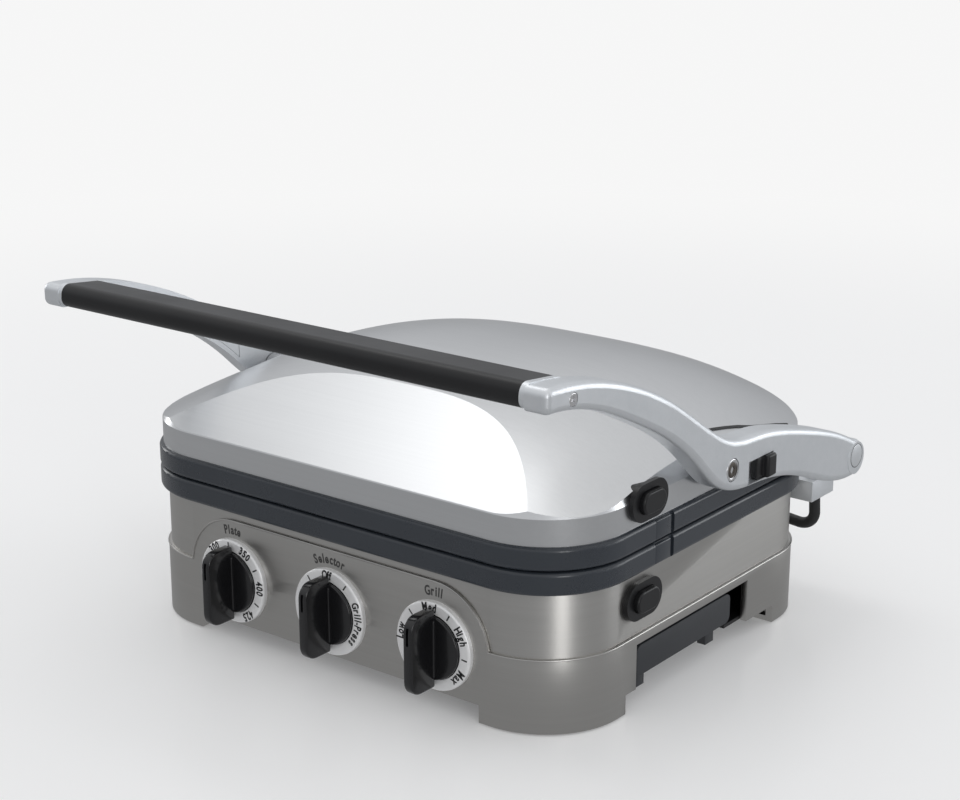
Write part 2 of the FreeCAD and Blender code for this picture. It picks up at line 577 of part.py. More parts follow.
# ---- plate release buttons ----------------------------------------------------------------------------
def make_release(prefix, z, flange_x, way):
    """Oval button in a flanged guide; its stem carries a latch whose nose sits in the plate's lug."""
    hole_y, hole_z = "button_half_y + button_gap", "button_half_z + button_gap"
    guide = new_body(f"{prefix}_release_guide")
    oval_x(guide, "flange", "Additive", flange_x, "flange_sheet", "release_y", z, "flange_half_y",
           "flange_half_z", "flange_half_z - 0.1")
    oval_x(guide, "barrel", "Additive", flange_x + " - barrel_depth", "barrel_depth", "release_y", z,
           hole_y + " + barrel_wall", hole_z + " + barrel_wall", hole_z + " + barrel_wall - 0.1")
    oval_x(guide, "guide_hole", "Subtractive", flange_x + " - barrel_depth + barrel_wall", "barrel_depth + 9",
           "release_y", z, hole_y, hole_z, hole_z + " - 0.1")
    rod(guide, "stem_hole", "Subtractive", (flange_x + " - barrel_depth - 2", "release_y", z), "x",
        "button_stem + stem_gap", 9)

    button = new_body(f"{prefix}_release_button")
    cap = "8"
    stem_end = "lug_x - latch_clear"
    oval_x(button, "cap", "Additive", f"{flange_x} + button_proud - {cap}", cap, "release_y", z,
           "button_half_y", "button_half_z", "button_half_z - 0.1")
    face = worth(flange_x + " + button_proud")
    round_edges(button, "edge", 1.2, lambda edge: flat_at(edge, "X", face))
    rod(button, "stem", "Additive", (stem_end, "release_y", z), "x", "button_stem",
        f"{flange_x} + button_proud - {cap} + 1 - ({stem_end})")

    # the latch hangs on the stem's end and reaches back along the plate's lug to its slot
    latch = new_body(f"{prefix}_release_latch")
    reach = f"abs(seam - {z}) - slot_depth - lug_slot / 2"
    tall = f"{reach} + nose_height / 2 + button_stem + 1.5"
    low = f"{z} - button_stem - 1.5" if way > 0 else f"{z} - ({reach}) - nose_height / 2"
    block(latch, "bar", "Additive", (stem_end + " - latch_sheet", "release_y - latch_width / 2", low),
          ("latch_sheet", "latch_width", tall))
    nose_z = f"{z} + {way} * ({reach}) - nose_height / 2"
    block(latch, "nose", "Additive", (stem_end + " - 0.5", "release_y - latch_width / 2", nose_z),
          ("latch_nose + 0.5", "latch_width", "nose_height"))

    start = worth(flange_x + " - barrel_depth + barrel_wall") + 0.1
    stop = worth(f"{flange_x} + button_proud - {cap}") - 0.1
    wire, mean = size("spring_wire"), size("button_stem") + size("spring_wire") + 0.5
    coil = Part.makeHelix((stop - start - 2 * wire) / 4, stop - start - 2 * wire, mean)
    section = Part.Wire([Part.Circle(Vector(mean, 0, 0), Vector(0, 1, 0), wire).toShape()])
    spring = Part.Wire(coil.Edges).makePipeShell([section], True, True)
    spring.Placement = Placement(Vector(start + wire, size("release_y"), worth(z)), turns["x"])
    free_part(f"{prefix}_release_spring", spring)


# ---- leads --------------------------------------------------------------------------------------------
def tangent_path(points, radii):
    """Straight runs joined by tangent arcs."""
    edges, start = [], points[0]
    for before, corner, after, radius in zip(points, points[1:], points[2:], radii):
        back, on = (before - corner), (after - corner)
        back.normalize()
        on.normalize()
        half = back.getAngle(on) / 2
        reach = radius / math.tan(half)
        middle = back + on
        middle.normalize()
        centre = corner + middle * (radius / math.sin(half))
        enter, leave = corner + back * reach, corner + on * reach
        edges.append(Part.LineSegment(start, enter).toShape())
        edges.append(Part.Arc(enter, centre - middle * radius, leave).toShape())
        start = leave
    edges.append(Part.LineSegment(start, points[-1]).toShape())
    return Part.Wire(edges)


def lead_solid():
    out = Vector(size("lead_exit_x"), size("skirt_depth") - 1, size("lead_exit_z"))
    low = Vector(size("lead_exit_x") + 3, size("lead_out_y"), size("lead_exit_z") - 6)
    across = Vector(size("lead_in_x") - 2, size("lead_out_y") - 2, size("lead_exit_z") - 8)
    up = Vector(size("lead_in_x"), size("lead_in_y"), size("bracket_low") + 8)
    path = tangent_path([out, low, across, up], (8.0, 11.0))
    section = Part.Wire([Part.Circle(out, path.Edges[0].tangentAt(0), size("lead_radius")).toShape()])
    return path.makePipeShell([section], True, True)


def make_leads():
    lead = lead_solid()
    free_part("lid_lead", lead)
    gland = steel_rod(Vector(size("lead_exit_x"), size("skirt_depth") - 6, size("lead_exit_z")),
                      Vector(0, 1, 0), size("gland_radius"), 9)
    gland = gland.cut(plan_prism(-size("wall_inset") + 0.001, 30, 70))
    gland = gland.cut(lead)
    free_part("lead_gland", gland)
    body = new_body("mains_gland")
    rod(body, "flange", "Additive", ("mains_x", "skirt_depth", "mains_z"), "y", "mains_radius", 3)
    rod(body, "sleeve", "Additive", ("mains_x", "skirt_depth", "mains_z"), "y", "mains_radius - 2",
        "mains_proud")
    rod(body, "neck", "Additive", ("mains_x", "skirt_depth - 7", "mains_z"), "y", "mains_radius - 2", 8)
    rod(body, "bore", "Subtractive", ("mains_x", "skirt_depth - 8", "mains_z"), "y", "mains_bore", 40)
    block_body = new_body("terminal_block")
    block(block_body, "case", "Additive", ("mains_x - 34", "skirt_depth - 30", "cover_low + cover_sheet"),
          (20, 12, 12))


# ---- hinge --------------------------------------------------------------------------------------------
def mirror_if(shape, side):
    return shape if side > 0 else shape.mirror(Vector(), Vector(1, 0, 0))


def make_hinge(name, side):
    out, inner = size("bracket_out"), size("bracket_in")
    axis = Vector(0, size("axis_y"), size("axis_z"))
    along = Vector(1, 0, 0)
    low, shelf = size("bracket_low"), size("bracket_shelf")
    rear = size("axis_y") + size("hub_radius")
    block_low = Part.makeBox(out - size("bracket_wide_in"), rear - size("bracket_front"), shelf - low,
                             Vector(size("bracket_wide_in"), size("bracket_front"), low))
    post = Part.makeBox(out - inner, 2 * size("hub_radius"), size("axis_z") - low,
                        Vector(inner, size("axis_y") - size("hub_radius"), low))
    hub = steel_rod(axis + along * inner, along, size("hub_radius"), out - inner)
    bracket = block_low.fuse(post).fuse(hub).removeSplitter()
    bracket = bracket.cut(plan_prism(-size("wall_inset"), 0, 100))
    bracket = bracket.cut(plan_prism(size("trim_proud"), size("trim_low") - 0.2, size("seam")))
    hole = size("pin_radius") + size("pin_gap")
    bracket = bracket.cut(steel_rod(axis + along * (inner - 1), along, hole, out - inner + 2))
    if side > 0:
        bracket = bracket.cut(lead_solid())
    free_part(f"{name}_hinge_bracket", mirror_if(bracket, side))
    pin_end = size("arm_out") - 1.8
    pin = steel_rod(axis + along * (inner - 0.6), along, size("pin_radius"), pin_end - inner + 0.6)
    free_part(f"{name}_hinge_pin", mirror_if(pin, side))
    cap_hole = size("arm_end") - 1.2
    cap = steel_rod(axis + along * (pin_end + 0.4), along, cap_hole, size("arm_out") - pin_end - 0.2)
    free_part(f"{name}_hinge_cap", mirror_if(cap, side))


# ---- arms and grip ------------------------------------------------------------------------------------
def arm_edges(inset):
    """Upper and lower edge of an arm seen from the side, each moved inwards by inset."""
    grip_y, grip_z = size("grip_y"), size("grip_z")
    tail_y, tail_z, end = size("axis_y"), size("axis_z"), size("arm_end")
    pivot_y, pivot_z = size("pivot_y"), size("pivot_z")
    over = [(grip_y - 11, grip_z + 6.6), (grip_y + 25.5, grip_z + 2), (grip_y + 57.5, grip_z - 8),
            (grip_y + 92.5, grip_z - 25), (pivot_y - 19, pivot_z + 25.7), (pivot_y + 2, pivot_z + 15.6),
            (pivot_y + 30, pivot_z + 12.4), (pivot_y + 69, pivot_z + 4.8), (tail_y - 21, tail_z + 20.0),
            (tail_y, tail_z + end)]
    under = [(tail_y, tail_z - end), (tail_y - 18, tail_z - 9.2), (tail_y - 65, tail_z + 6.4),
             (pivot_y + 33, pivot_z - 15.2), (pivot_y + 3, pivot_z - 12.2), (pivot_y - 10, pivot_z - 7.1),
             (pivot_y - 32, pivot_z + 11), (pivot_y - 60, pivot_z + 31.6), (grip_y + 58.5, grip_z - 26.8),
             (grip_y + 25.5, grip_z - 12.6), (grip_y - 11, grip_z - 5.8)]
    top, bottom = Part.BSplineCurve(), Part.BSplineCurve()
    top.interpolate([Vector(0, y, z - inset) for y, z in over])
    bottom.interpolate([Vector(0, y, z + inset) for y, z in under])
    return top, bottom


def arm_outline():
    """Side view of an arm: a swept neck from the grip down to the lid pivot, then a tail to the hinge."""
    top, bottom = arm_edges(0)
    rear = Part.Arc(top.EndPoint, Vector(0, size("axis_y") + size("arm_end"), size("axis_z")),
                    bottom.StartPoint)
    reach, bend = Vector(0, -size("nose_bend"), 0), Vector(0, 0, size("nose_bend"))
    high, low = top.StartPoint, bottom.EndPoint
    slack = 1 - math.sqrt(0.5)
    upper = Part.Arc(high + reach - bend, high + reach * (1 - slack) - bend * slack, high)
    lower = Part.Arc(low, low + reach * (1 - slack) + bend * slack, low + reach + bend)
    face = Part.LineSegment(low + reach + bend, high + reach - bend)
    pieces = (top, rear, bottom, lower, face, upper)
    return Part.Wire([piece.toShape() for piece in pieces])


def arm_strip(inset, start_y, end_y, sheet):
    """The part of the arm's side view between two values of y, inside its edges by inset, as a plate."""
    top, bottom = arm_edges(inset)
    rear = Part.LineSegment(top.EndPoint, bottom.StartPoint)
    front = Part.LineSegment(bottom.EndPoint, top.StartPoint)
    face = Part.Face(Part.Wire([top.toShape(), rear.toShape(), bottom.toShape(), front.toShape()]))
    zone = Part.makeBox(40, end_y - start_y, 300, Vector(-20, start_y, 0))
    return face.extrude(Vector(sheet, 0, 0)).common(zone)


def make_arm(name, side):
    inner, out = size("arm_in"), size("arm_out")
    along = Vector(1, 0, 0)
    outline = arm_outline()
    bar = Part.Face(outline).extrude(along * (out - inner))
    bar.translate(along * inner)
    outer_rim = [edge for edge in bar.Edges if abs(edge.BoundBox.XMin - out) < 0.01]
    bar = bar.makeFillet(size("arm_round"), outer_rim)
    axis = Vector(0, size("axis_y"), size("axis_z"))
    pivot = Vector(0, size("pivot_y"), size("pivot_z"))
    front_in = size("grip_half_x")
    half_y, half_z = size("grip_half_y"), size("grip_half_z")
    nose = Part.makeBox(inner - front_in + 0.5, 2 * half_y, 2 * half_z,
                        Vector(front_in, size("grip_y") - half_y, size("grip_z") - half_z))
    nose = nose.makeFillet(size("grip_round"), [edge for edge in nose.Edges if edge.BoundBox.XLength > 1])
    nose.rotate(Vector(0, size("grip_y"), size("grip_z")), along, -size("grip_tilt"))
    hub_in = size("bracket_out") + size("side_gap")
    hub = steel_rod(axis + along * hub_in, along, size("arm_end") - 0.6, inner - hub_in + 0.5)
    bar = bar.fuse([nose, hub]).removeSplitter()
    # inner face: a shallow recess for the cover plate, from the grip to short of the pivot
    inset, gap, sheet_x = size("arm_cover_inset"), size("arm_cover_gap"), size("arm_cover_sheet")
    front_y, end_y = size("grip_y") + size("grip_half_y") + 3, size("arm_cover_end")
    recess = arm_strip(inset, front_y, end_y, sheet_x)
    recess.translate(along * inner)
    bar = bar.cut(recess)
    cover = arm_strip(inset + gap, front_y + gap, end_y - gap, sheet_x - 0.1)
    cover.translate(along * (inner + 0.1))
    # bores: hinge pin, lid pivot, grip core and the cover's screw
    bar = bar.cut(steel_rod(axis + along * (hub_in - 1), along, size("pin_radius") + size("pin_gap"),
                            out - 1.8 - hub_in + 1.4))
    bar = bar.cut(steel_rod(axis + along * (out - 1.4), along, size("arm_end") - 1.2, 5))
    bar = bar.cut(steel_rod(pivot + along * (inner - 1), along, size("pivot_radius"), 40))
    bar = bar.cut(steel_rod(pivot + along * (out - size("pivot_head_depth")), along, size("pivot_head"), 9))
    core = Vector(front_in - 1, size("grip_y"), size("grip_z"))
    bar = bar.cut(steel_rod(core, along, size("core_radius"), size("core_depth") + 1))
    screw_at = Vector(0, size("arm_screw_y"), size("arm_screw_z"))
    bar = bar.cut(steel_rod(screw_at + along * (inner - 1), along, 1.5, 40))
    bar = bar.cut(steel_rod(screw_at + along * (out - 1.2), along, 3.4, 9))
    cover = cover.cut(steel_rod(screw_at + along * (inner - 1), along, 1.5, 40))
    if side > 0:
        y, z = size("lever_front"), size("lever_low")
        bar = bar.cut(Part.makeBox(9, size("lever_rear") - y, size("lever_high") - z,
                                   Vector(out - size("lever_depth"), y, z)))
    free_part(f"{name}_arm", mirror_if(bar, side))
    free_part(f"{name}_arm_cover", mirror_if(cover, side))
    head = size("pivot_head") - 0.3
    deep = size("pivot_head_depth")
    bolt = screw(pivot + along * (out - deep), -along, size("pivot_radius"),
                 out - deep - inner + size("pivot_depth"), head, deep)
    free_part(f"{name}_pivot_screw", mirror_if(bolt, side))
    return mirror_if(screw(screw_at + along * (out - 1.2), -along, 1.5, out - 1.2 - inner - 0.2, 3.2, 1.2),
                     side)


def make_arms_and_grip():
    screws = [make_arm("left", -1), make_arm("right", 1)]
    free_part("arm_screws", Part.makeCompound(screws))
    grip = new_body("grip_bar")
    oval_x(grip, "bar", "Additive", "-grip_half_x", "2 * grip_half_x", "grip_y", "grip_z", "grip_half_y",
           "grip_half_z", "grip_round", -size("grip_tilt"))
    rod(grip, "bore", "Subtractive", ("-grip_half_x - 1", "grip_y", "grip_z"), "x", "core_radius",
        "2 * grip_half_x + 2")
    core = new_body("grip_core")
    rod(core, "rod", "Additive", ("-grip_half_x - core_depth", "grip_y", "grip_z"), "x", "core_radius",
        "2 * grip_half_x + 2 * core_depth")


def make_lever():
    body = new_body("hinge_release_lever")
    floor = "arm_out - lever_depth + lever_gap"
    start = "lever_rear - lever_gap - lever_length"
    block(body, "slider", "Additive", (floor, start, "lever_low + lever_gap"),
          ("lever_depth - 1", "lever_length", "lever_high - lever_low - 2 * lever_gap"))
    block(body, "tab", "Additive", (floor, "lever_rear - lever_gap - lever_tab", "lever_low + lever_gap"),
          ("lever_depth - lever_gap + lever_proud", "lever_tab", "lever_high - lever_low - 2 * lever_gap"))
    out = worth("arm_out + lever_proud")
    round_edges(body, "tab_round", 1.6, lambda edge: flat_at(edge, "X", out))


# ---- lid ----------------------------------------------------------------------------------------------
def dome_height(x, y):
    """Side edges are shallow arches; between them the sheet swells to a broad crown."""
    run = (y - size("arch_y")) / (size("skirt_depth") / 2)
    drop = size("arch_front_drop") if run < 0 else size("arch_rear_drop")
    edge = size("skirt_width") / 2 + size("lid_proud") - size("shoulder_inset")
    across = 1 - min(abs(x / edge), 1) ** size("crown_power_x")
    along = 1 - min(abs((y - size("crown_y")) / size("crown_reach")), 1) ** size("crown_power_y")
    return size("arch_top") - drop * run * run + size("crown") * across * along


def lid_solid(inset):
    """The lid's outer solid, or with inset the hollow inside it."""
    proud = size("lid_proud") - inset
    low, start = size("trim_high"), size("shoulder_start")
    slope = size("shoulder_inset") / size("shoulder_rise")
    top = 190.0
    wall = plan_prism(proud, low - (1 if inset else 0), start)
    rings = []
    for level in (start, top):
        shrink = proud - slope * (level - start)
        slice_solid = plan_prism(shrink, level, level + 5)
        floor = [face for face in slice_solid.Faces
                 if abs(face.BoundBox.ZMax - level) < 0.001 and face.BoundBox.ZLength < 0.001]
        rings.append(floor[0].OuterWire)
    shoulder = Part.makeLoft(rings, True, True)
    prism = wall.fuse(shoulder)
    xs = [-160 + 320 * n / 16 for n in range(17)]
    ys = [-12 + 276 * n / 14 for n in range(15)]
    grid = [[Vector(x, y, dome_height(x, y) - inset) for y in ys] for x in xs]
    skin = Part.BSplineSurface()
    skin.interpolate(grid)
    under_dome = skin.toShape().extrude(Vector(0, 0, -120))
    facet_z = size("facet_low") - inset * math.sqrt(1 + size("facet_slope") ** 2)
    reach = 300.0
    rise = size("facet_slope") * reach
    start_y = -size("lid_proud")
    corners = [(start_y - 20, facet_z - 20 * size("facet_slope")), (start_y + reach, facet_z + rise),
               (start_y + reach, 0), (start_y - 20, 0)]
    points = [Vector(-200, y, z) for y, z in corners]
    wedge = Part.Face(Part.makePolygon(points + points[:1])).extrude(Vector(400, 0, 0))
    return prism.common(under_dome).common(wedge)


def release_hole(z):
    half_y = size("button_half_y") + size("button_gap") + size("barrel_wall")
    half_z = size("button_half_z") + size("button_gap") + size("barrel_wall")
    x = size("skirt_width") / 2 - 14
    box = Part.makeBox(40, 2 * half_y, 2 * half_z, Vector(x, size("release_y") - half_y, z - half_z))
    return box.makeFillet(half_z - 0.1, [edge for edge in box.Edges if edge.BoundBox.XLength > 1])


def make_lid_cover():
    shell = lid_solid(0).cut(lid_solid(size("lid_sheet")))
    shell = shell.cut(release_hole(size("release_high_z")))
    for side in (-1, 1):
        start = Vector(side * (size("arm_in") - 16), size("pivot_y"), size("pivot_z"))
        shell = shell.cut(steel_rod(start, Vector(side, 0, 0), size("pivot_boss"), 30))
    free_part("lid_cover", shell)


def make_pivot_bosses():
    for side, name in ((-1, "left"), (1, "right")):
        outer = size("arm_in") - size("side_gap")
        start = Vector(side * outer, size("pivot_y"), size("pivot_z"))
        back = Vector(-side, 0, 0)
        boss = steel_rod(start, back, size("pivot_boss"), size("pivot_depth"))
        bore = steel_rod(start - back, back, size("pivot_radius") + size("pin_gap"), size("pivot_depth") + 2)
        free_part(f"{name}_pivot_boss", boss.cut(bore))


def make_lid_frame():
    body = new_body("lid_frame")
    half = "skirt_width / 2 + lid_proud - lid_sheet - cover_gap"
    half_y = "skirt_depth / 2 + lid_proud - lid_sheet - cover_gap"
    corner = "skirt_corner + lid_proud - lid_sheet - cover_gap"
    slab(body, "ring", "trim_high", "lid_frame_sheet", half, half_y, corner)
    well(body, "mouth", "trim_high - 1", 5, half + " - lid_frame_width", half_y + " - lid_frame_width",
         corner + " - lid_frame_width")


# ---- drip tray ----------------------------------------------------------------------------------------
def make_drip_tray():
    body = new_body("drip_tray")
    block(body, "pan", "Additive", ("tray_in", "tray_front", "tray_low"),
          ("tray_out - tray_in", "tray_rear - tray_front", "tray_high - tray_low"))
    block(body, "lips", "Additive", ("tray_in", "tray_front - tray_lip", "tray_high - tray_lip_sheet"),
          ("tray_out - tray_in - 8", "tray_rear - tray_front + 2 * tray_lip", "tray_lip_sheet"))
    block(body, "hollow", "Subtractive", ("tray_in + tray_wall", "tray_front + tray_wall", "tray_low + tray_wall"),
          ("tray_out - tray_in - tray_wall - tray_face_sheet", "tray_rear - tray_front - 2 * tray_wall", 40))
    face = oval_x(body, "face", "Additive", "tray_out - tray_face_sheet", "tray_face_sheet",
                  "(tray_face_front + tray_face_rear) / 2", "(tray_low + tray_high) / 2",
                  "(tray_face_rear - tray_face_front) / 2", "(tray_high - tray_low) / 2", "tray_face_corner")
    for mark, y in (("front", "tray_front"), ("rear", "tray_rear - 2 * tray_foot")):
        block(body, f"{mark}_foot", "Additive", ("tray_out - 8", y, "tray_foot_low"),
              (5, "tray_foot", "tray_low - tray_foot_low + 1"))
        block(body, f"{mark}_inner_foot", "Additive", ("tray_in + 6", y, "tray_foot_low"),
              (5, "tray_foot", "tray_low - tray_foot_low + 1"))
    return face


def make_tray_rail(name, y_lip, toward):
    """L-shaped rail standing on the bottom cover; its lip carries the tray's edge."""
    body = new_body(f"{name}_tray_rail")
    lip_top = "tray_high - tray_lip_sheet - rail_gap / 2"
    web_low = "(cover_low + cover_sheet)"
    web = y_lip if toward > 0 else f"{y_lip} + rail_lip - rail_sheet"
    block(body, "lip", "Additive", ("tray_in", y_lip, lip_top + " - rail_sheet"),
          ("skirt_width / 2 - 6 - tray_in", "rail_lip", "rail_sheet"))
    block(body, "web", "Additive", ("tray_in", web, web_low),
          ("skirt_width / 2 - 6 - tray_in", "rail_sheet", f"{lip_top} - {web_low}"))
    foot = f"{web} - 5" if toward > 0 else web
    block(body, "foot", "Additive", ("tray_in", foot, web_low),
          ("skirt_width / 2 - 14 - tray_in", "rail_sheet + 5", "rail_sheet"))


make_base_housing()
make_bottom_cover()
make_foot_pads()
make_cover_screws()
make_lower_trim()
make_upper_trim()
for plate_name, below in (("lower", True), ("upper", False)):
    make_cooking_plate(f"{plate_name}_cooking_plate", below)
    make_heater(f"{plate_name}_heating_element", below)
    make_pan(f"{plate_name}_reflector", below)
for dial_name, dial_place in dials.items():
    make_dial(dial_name, dial_place)
make_release("lower", "release_low_z", "skirt_width / 2 - wall_inset", 1)
make_release("upper", "release_high_z", "skirt_width / 2 + lid_proud", -1)
for side_name, side_sign in (("left", -1), ("right", 1)):
    make_hinge(side_name, side_sign)
make_arms_and_grip()
make_lever()
make_lid_cover()
make_pivot_bosses()
make_lid_frame()
make_drip_tray()
make_tray_rail("front", "tray_front - tray_lip - rail_gap - rail_sheet", 1)
make_tray_rail("rear", "tray_rear + tray_lip + rail_gap + rail_sheet - rail_lip", -1)
make_leads()

doc.recompute()
faults = [f"{thing.Label}: {state}" for thing in doc.Objects for state in thing.State
          if state in ("Invalid", "Error")]
for node in nodes:
    if node.Shape.isNull() or not node.Shape.isValid() or not node.Shape.Solids:
        faults.append(f"{node.Label}: shape")
if faults:
    raise SystemExit("\n".join(faults))

os.makedirs("parts", exist_ok=True)
for node in nodes:
    node.Shape.exportStep(f"parts/{node.Label}.step")
    box = node.Shape.BoundBox
    print(f"{node.Label:26s} solids {len(node.Shape.Solids)} volume {node.Shape.Volume:10.0f} "
          f"x {box.XMin:7.1f} {box.XMax:7.1f} y {box.YMin:7.1f} {box.YMax:7.1f} "
          f"z {box.ZMin:6.1f} {box.ZMax:6.1f}")
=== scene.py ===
import math

import bpy
from mathutils import Matrix, Vector


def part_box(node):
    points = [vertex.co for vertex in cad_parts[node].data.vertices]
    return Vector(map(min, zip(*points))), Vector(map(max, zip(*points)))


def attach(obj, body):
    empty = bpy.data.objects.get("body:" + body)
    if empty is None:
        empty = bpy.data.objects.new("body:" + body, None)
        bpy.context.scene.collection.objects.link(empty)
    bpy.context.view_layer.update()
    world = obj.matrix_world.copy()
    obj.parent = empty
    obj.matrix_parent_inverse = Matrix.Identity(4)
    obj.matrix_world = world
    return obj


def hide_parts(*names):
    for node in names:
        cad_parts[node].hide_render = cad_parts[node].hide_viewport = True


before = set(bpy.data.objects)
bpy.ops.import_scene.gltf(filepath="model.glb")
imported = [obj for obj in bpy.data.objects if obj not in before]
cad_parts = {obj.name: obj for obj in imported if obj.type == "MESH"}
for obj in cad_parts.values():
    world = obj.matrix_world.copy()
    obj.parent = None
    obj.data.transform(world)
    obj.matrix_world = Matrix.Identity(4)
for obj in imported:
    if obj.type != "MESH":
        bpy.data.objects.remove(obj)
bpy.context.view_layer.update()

bpy.ops.object.select_all(action="DESELECT")
scene = bpy.context.scene

# camera: a little above the lid, off the right front corner
viewpoint = {"place": (0.6318, -0.80015, 0.4300), "turn": 37.869, "dip": 16.741, "lens": 72.296,
             "sensor": 36, "farthest": 60}
bpy.ops.object.camera_add(location=viewpoint["place"],
                          rotation=(math.radians(90 - viewpoint["dip"]), 0, math.radians(viewpoint["turn"])))
camera = bpy.context.object
camera.data.lens = viewpoint["lens"]
camera.data.sensor_width = viewpoint["sensor"]
camera.data.clip_end = viewpoint["farthest"]
scene.camera = camera
print("camera placed")

# node trees
def link(tree, start, end):
    tree.links.new(start, end)


def addNode(tree, kind, **settings):
    node = tree.nodes.new(kind)
    for key, value in settings.items():
        setattr(node, key, value)
    return node


def blendShaders(tree, factor, first, second):
    either = addNode(tree, "ShaderNodeMixShader")
    for socket, given in zip(either.inputs, (factor, first, second)):
        link(tree, given, socket)
    return either.outputs[0]


# studio: pale paper floor that meets the room far out, and soft panels round the grill for the metal to mirror
studio = {"floor": 24.0, "floorTone": 0.84, "floorRough": 0.20, "floorShine": 0.07, "glow": 0.16,
          "mirroredFloor": 0.34, "mirroredTint": (0.97, 0.98, 1.0, 1), "roomStrength": 0.8,
          "backTone": 0.925, "fadeFrom": 0.45, "fadeTo": 1.3,
          "roomTones": ((0.0, (0.36, 0.37, 0.38, 1)), (0.10, (0.52, 0.53, 0.55, 1)),
                        (0.50, (0.80, 0.81, 0.83, 1)), (1.0, (1.0, 1.0, 1.0, 1)))}
bpy.ops.mesh.primitive_plane_add(size=studio["floor"], location=(0, 0, 0))
floor = bpy.context.object
floor.name = "studioFloor"
paper = bpy.data.materials.new("studioPaper")
paper.use_nodes = True
tree = paper.node_tree
tree.nodes.clear()
sheen = addNode(tree, "ShaderNodeBsdfPrincipled")
sheen.inputs["Base Color"].default_value = (studio["floorTone"],) * 3 + (1,)
sheen.inputs["Roughness"].default_value = studio["floorRough"]
sheen.inputs["Specular IOR Level"].default_value = studio["floorShine"]
sheen.inputs["Emission Color"].default_value = (1, 1, 1, 1)
sheen.inputs["Emission Strength"].default_value = studio["glow"]
shade = addNode(tree, "ShaderNodeEmission")
shade.inputs[0].default_value = studio["mirroredTint"]
shade.inputs[1].default_value = studio["mirroredFloor"]
distant = addNode(tree, "ShaderNodeEmission")
distant.inputs[0].default_value = (1, 1, 1, 1)
distant.inputs[1].default_value = studio["backTone"]
spot = addNode(tree, "ShaderNodeTexCoord")
away = addNode(tree, "ShaderNodeVectorMath", operation="LENGTH")
link(tree, spot.outputs["Object"], away.inputs[0])
fade = addNode(tree, "ShaderNodeMapRange", interpolation_type="SMOOTHSTEP")
fade.inputs[1].default_value = studio["fadeFrom"]
fade.inputs[2].default_value = studio["fadeTo"]
link(tree, away.outputs["Value"], fade.inputs[0])
rays = addNode(tree, "ShaderNodeLightPath")
sweep = blendShaders(tree, fade.outputs[0], sheen.outputs[0], distant.outputs[0])
out = addNode(tree, "ShaderNodeOutputMaterial")
link(tree, blendShaders(tree, rays.outputs["Is Glossy Ray"], sweep, shade.outputs[0]), out.inputs[0])
floor.data.materials.append(paper)

world = bpy.data.worlds.new("studioRoom")
scene.world = world
world.use_nodes = True
tree = world.node_tree
tree.nodes.clear()
coords = addNode(tree, "ShaderNodeTexCoord")
split = addNode(tree, "ShaderNodeSeparateXYZ")
link(tree, coords.outputs["Generated"], split.inputs[0])
ramp = addNode(tree, "ShaderNodeValToRGB")
link(tree, split.outputs[2], ramp.inputs[0])
stops = ramp.color_ramp.elements
lowest, *between, highest = studio["roomTones"]
stops[0].position, stops[0].color = lowest
stops[1].position, stops[1].color = highest
for height, tone in between:
    stops.new(height).color = tone
back = addNode(tree, "ShaderNodeBackground")
link(tree, ramp.outputs[0], back.inputs[0])
back.inputs[1].default_value = studio["roomStrength"]
glow = addNode(tree, "ShaderNodeBackground")
glow.inputs[0].default_value = (studio["backTone"],) * 3 + (1,)
rays = addNode(tree, "ShaderNodeLightPath")
out = addNode(tree, "ShaderNodeOutputWorld")
link(tree, blendShaders(tree, rays.outputs["Is Camera Ray"], back.outputs[0], glow.outputs[0]), out.inputs[0])


def softPanel(name, place, aim, width, depth, watts, tint=(1, 1, 1)):
    bpy.ops.object.light_add(type="AREA", location=place)
    lamp = bpy.context.object
    lamp.name = name
    lamp.data.shape = "RECTANGLE"
    lamp.data.size, lamp.data.size_y = width, depth
    lamp.data.energy = watts
    lamp.data.color = tint
    lamp.rotation_euler = (Vector(aim) - Vector(place)).to_track_quat("-Z", "Y").to_euler()


softPanel("roofPanel", (-0.62, 0.26, 1.6), (-0.62, 0.26, 0.1), 1.15, 0.72, 3.1)
softPanel("leftPanel", (-2.3, -0.1, 0.6), (0, 0, 0.1), 0.6, 0.9, 5)
softPanel("rearRightPanel", (1.3, 1.7, 0.40), (0, 0, 0.1), 1.5, 0.8, 8, (0.96, 0.98, 1))
softPanel("frontRightPanel", (1.9, -1.2, 0.5), (0, 0, 0.1), 0.5, 1.0, 6)
scene.view_settings.view_transform = "Standard"
print("studio lit")


# effects that several finishes share, as node groups
def effect(name, inputs, outputs):
    group = bpy.data.node_groups.new(name, "ShaderNodeTree")
    for label, kind, start in inputs:
        socket = group.interface.new_socket(label, in_out="INPUT", socket_type=kind)
        if start is not None:
            socket.default_value = start
    for label, kind in outputs:
        group.interface.new_socket(label, in_out="OUTPUT", socket_type=kind)
    return group, group.nodes.new("NodeGroupInput"), group.nodes.new("NodeGroupOutput")


def sum2(tree, operation, first, second):
    node = addNode(tree, "ShaderNodeMath", operation=operation)
    for socket, value in zip(node.inputs, (first, second)):
        if isinstance(value, (int, float)):
            socket.default_value = value
        else:
            link(tree, value, socket)
    return node.outputs[0]


def ranged(tree, value, low, high, toLow, toHigh):
    node = addNode(tree, "ShaderNodeMapRange")
    for socket, given in zip(node.inputs, (value, low, high, toLow, toHigh)):
        if isinstance(given, (int, float)):
            socket.default_value = given
        else:
            link(tree, given, socket)
    return node.outputs[0]


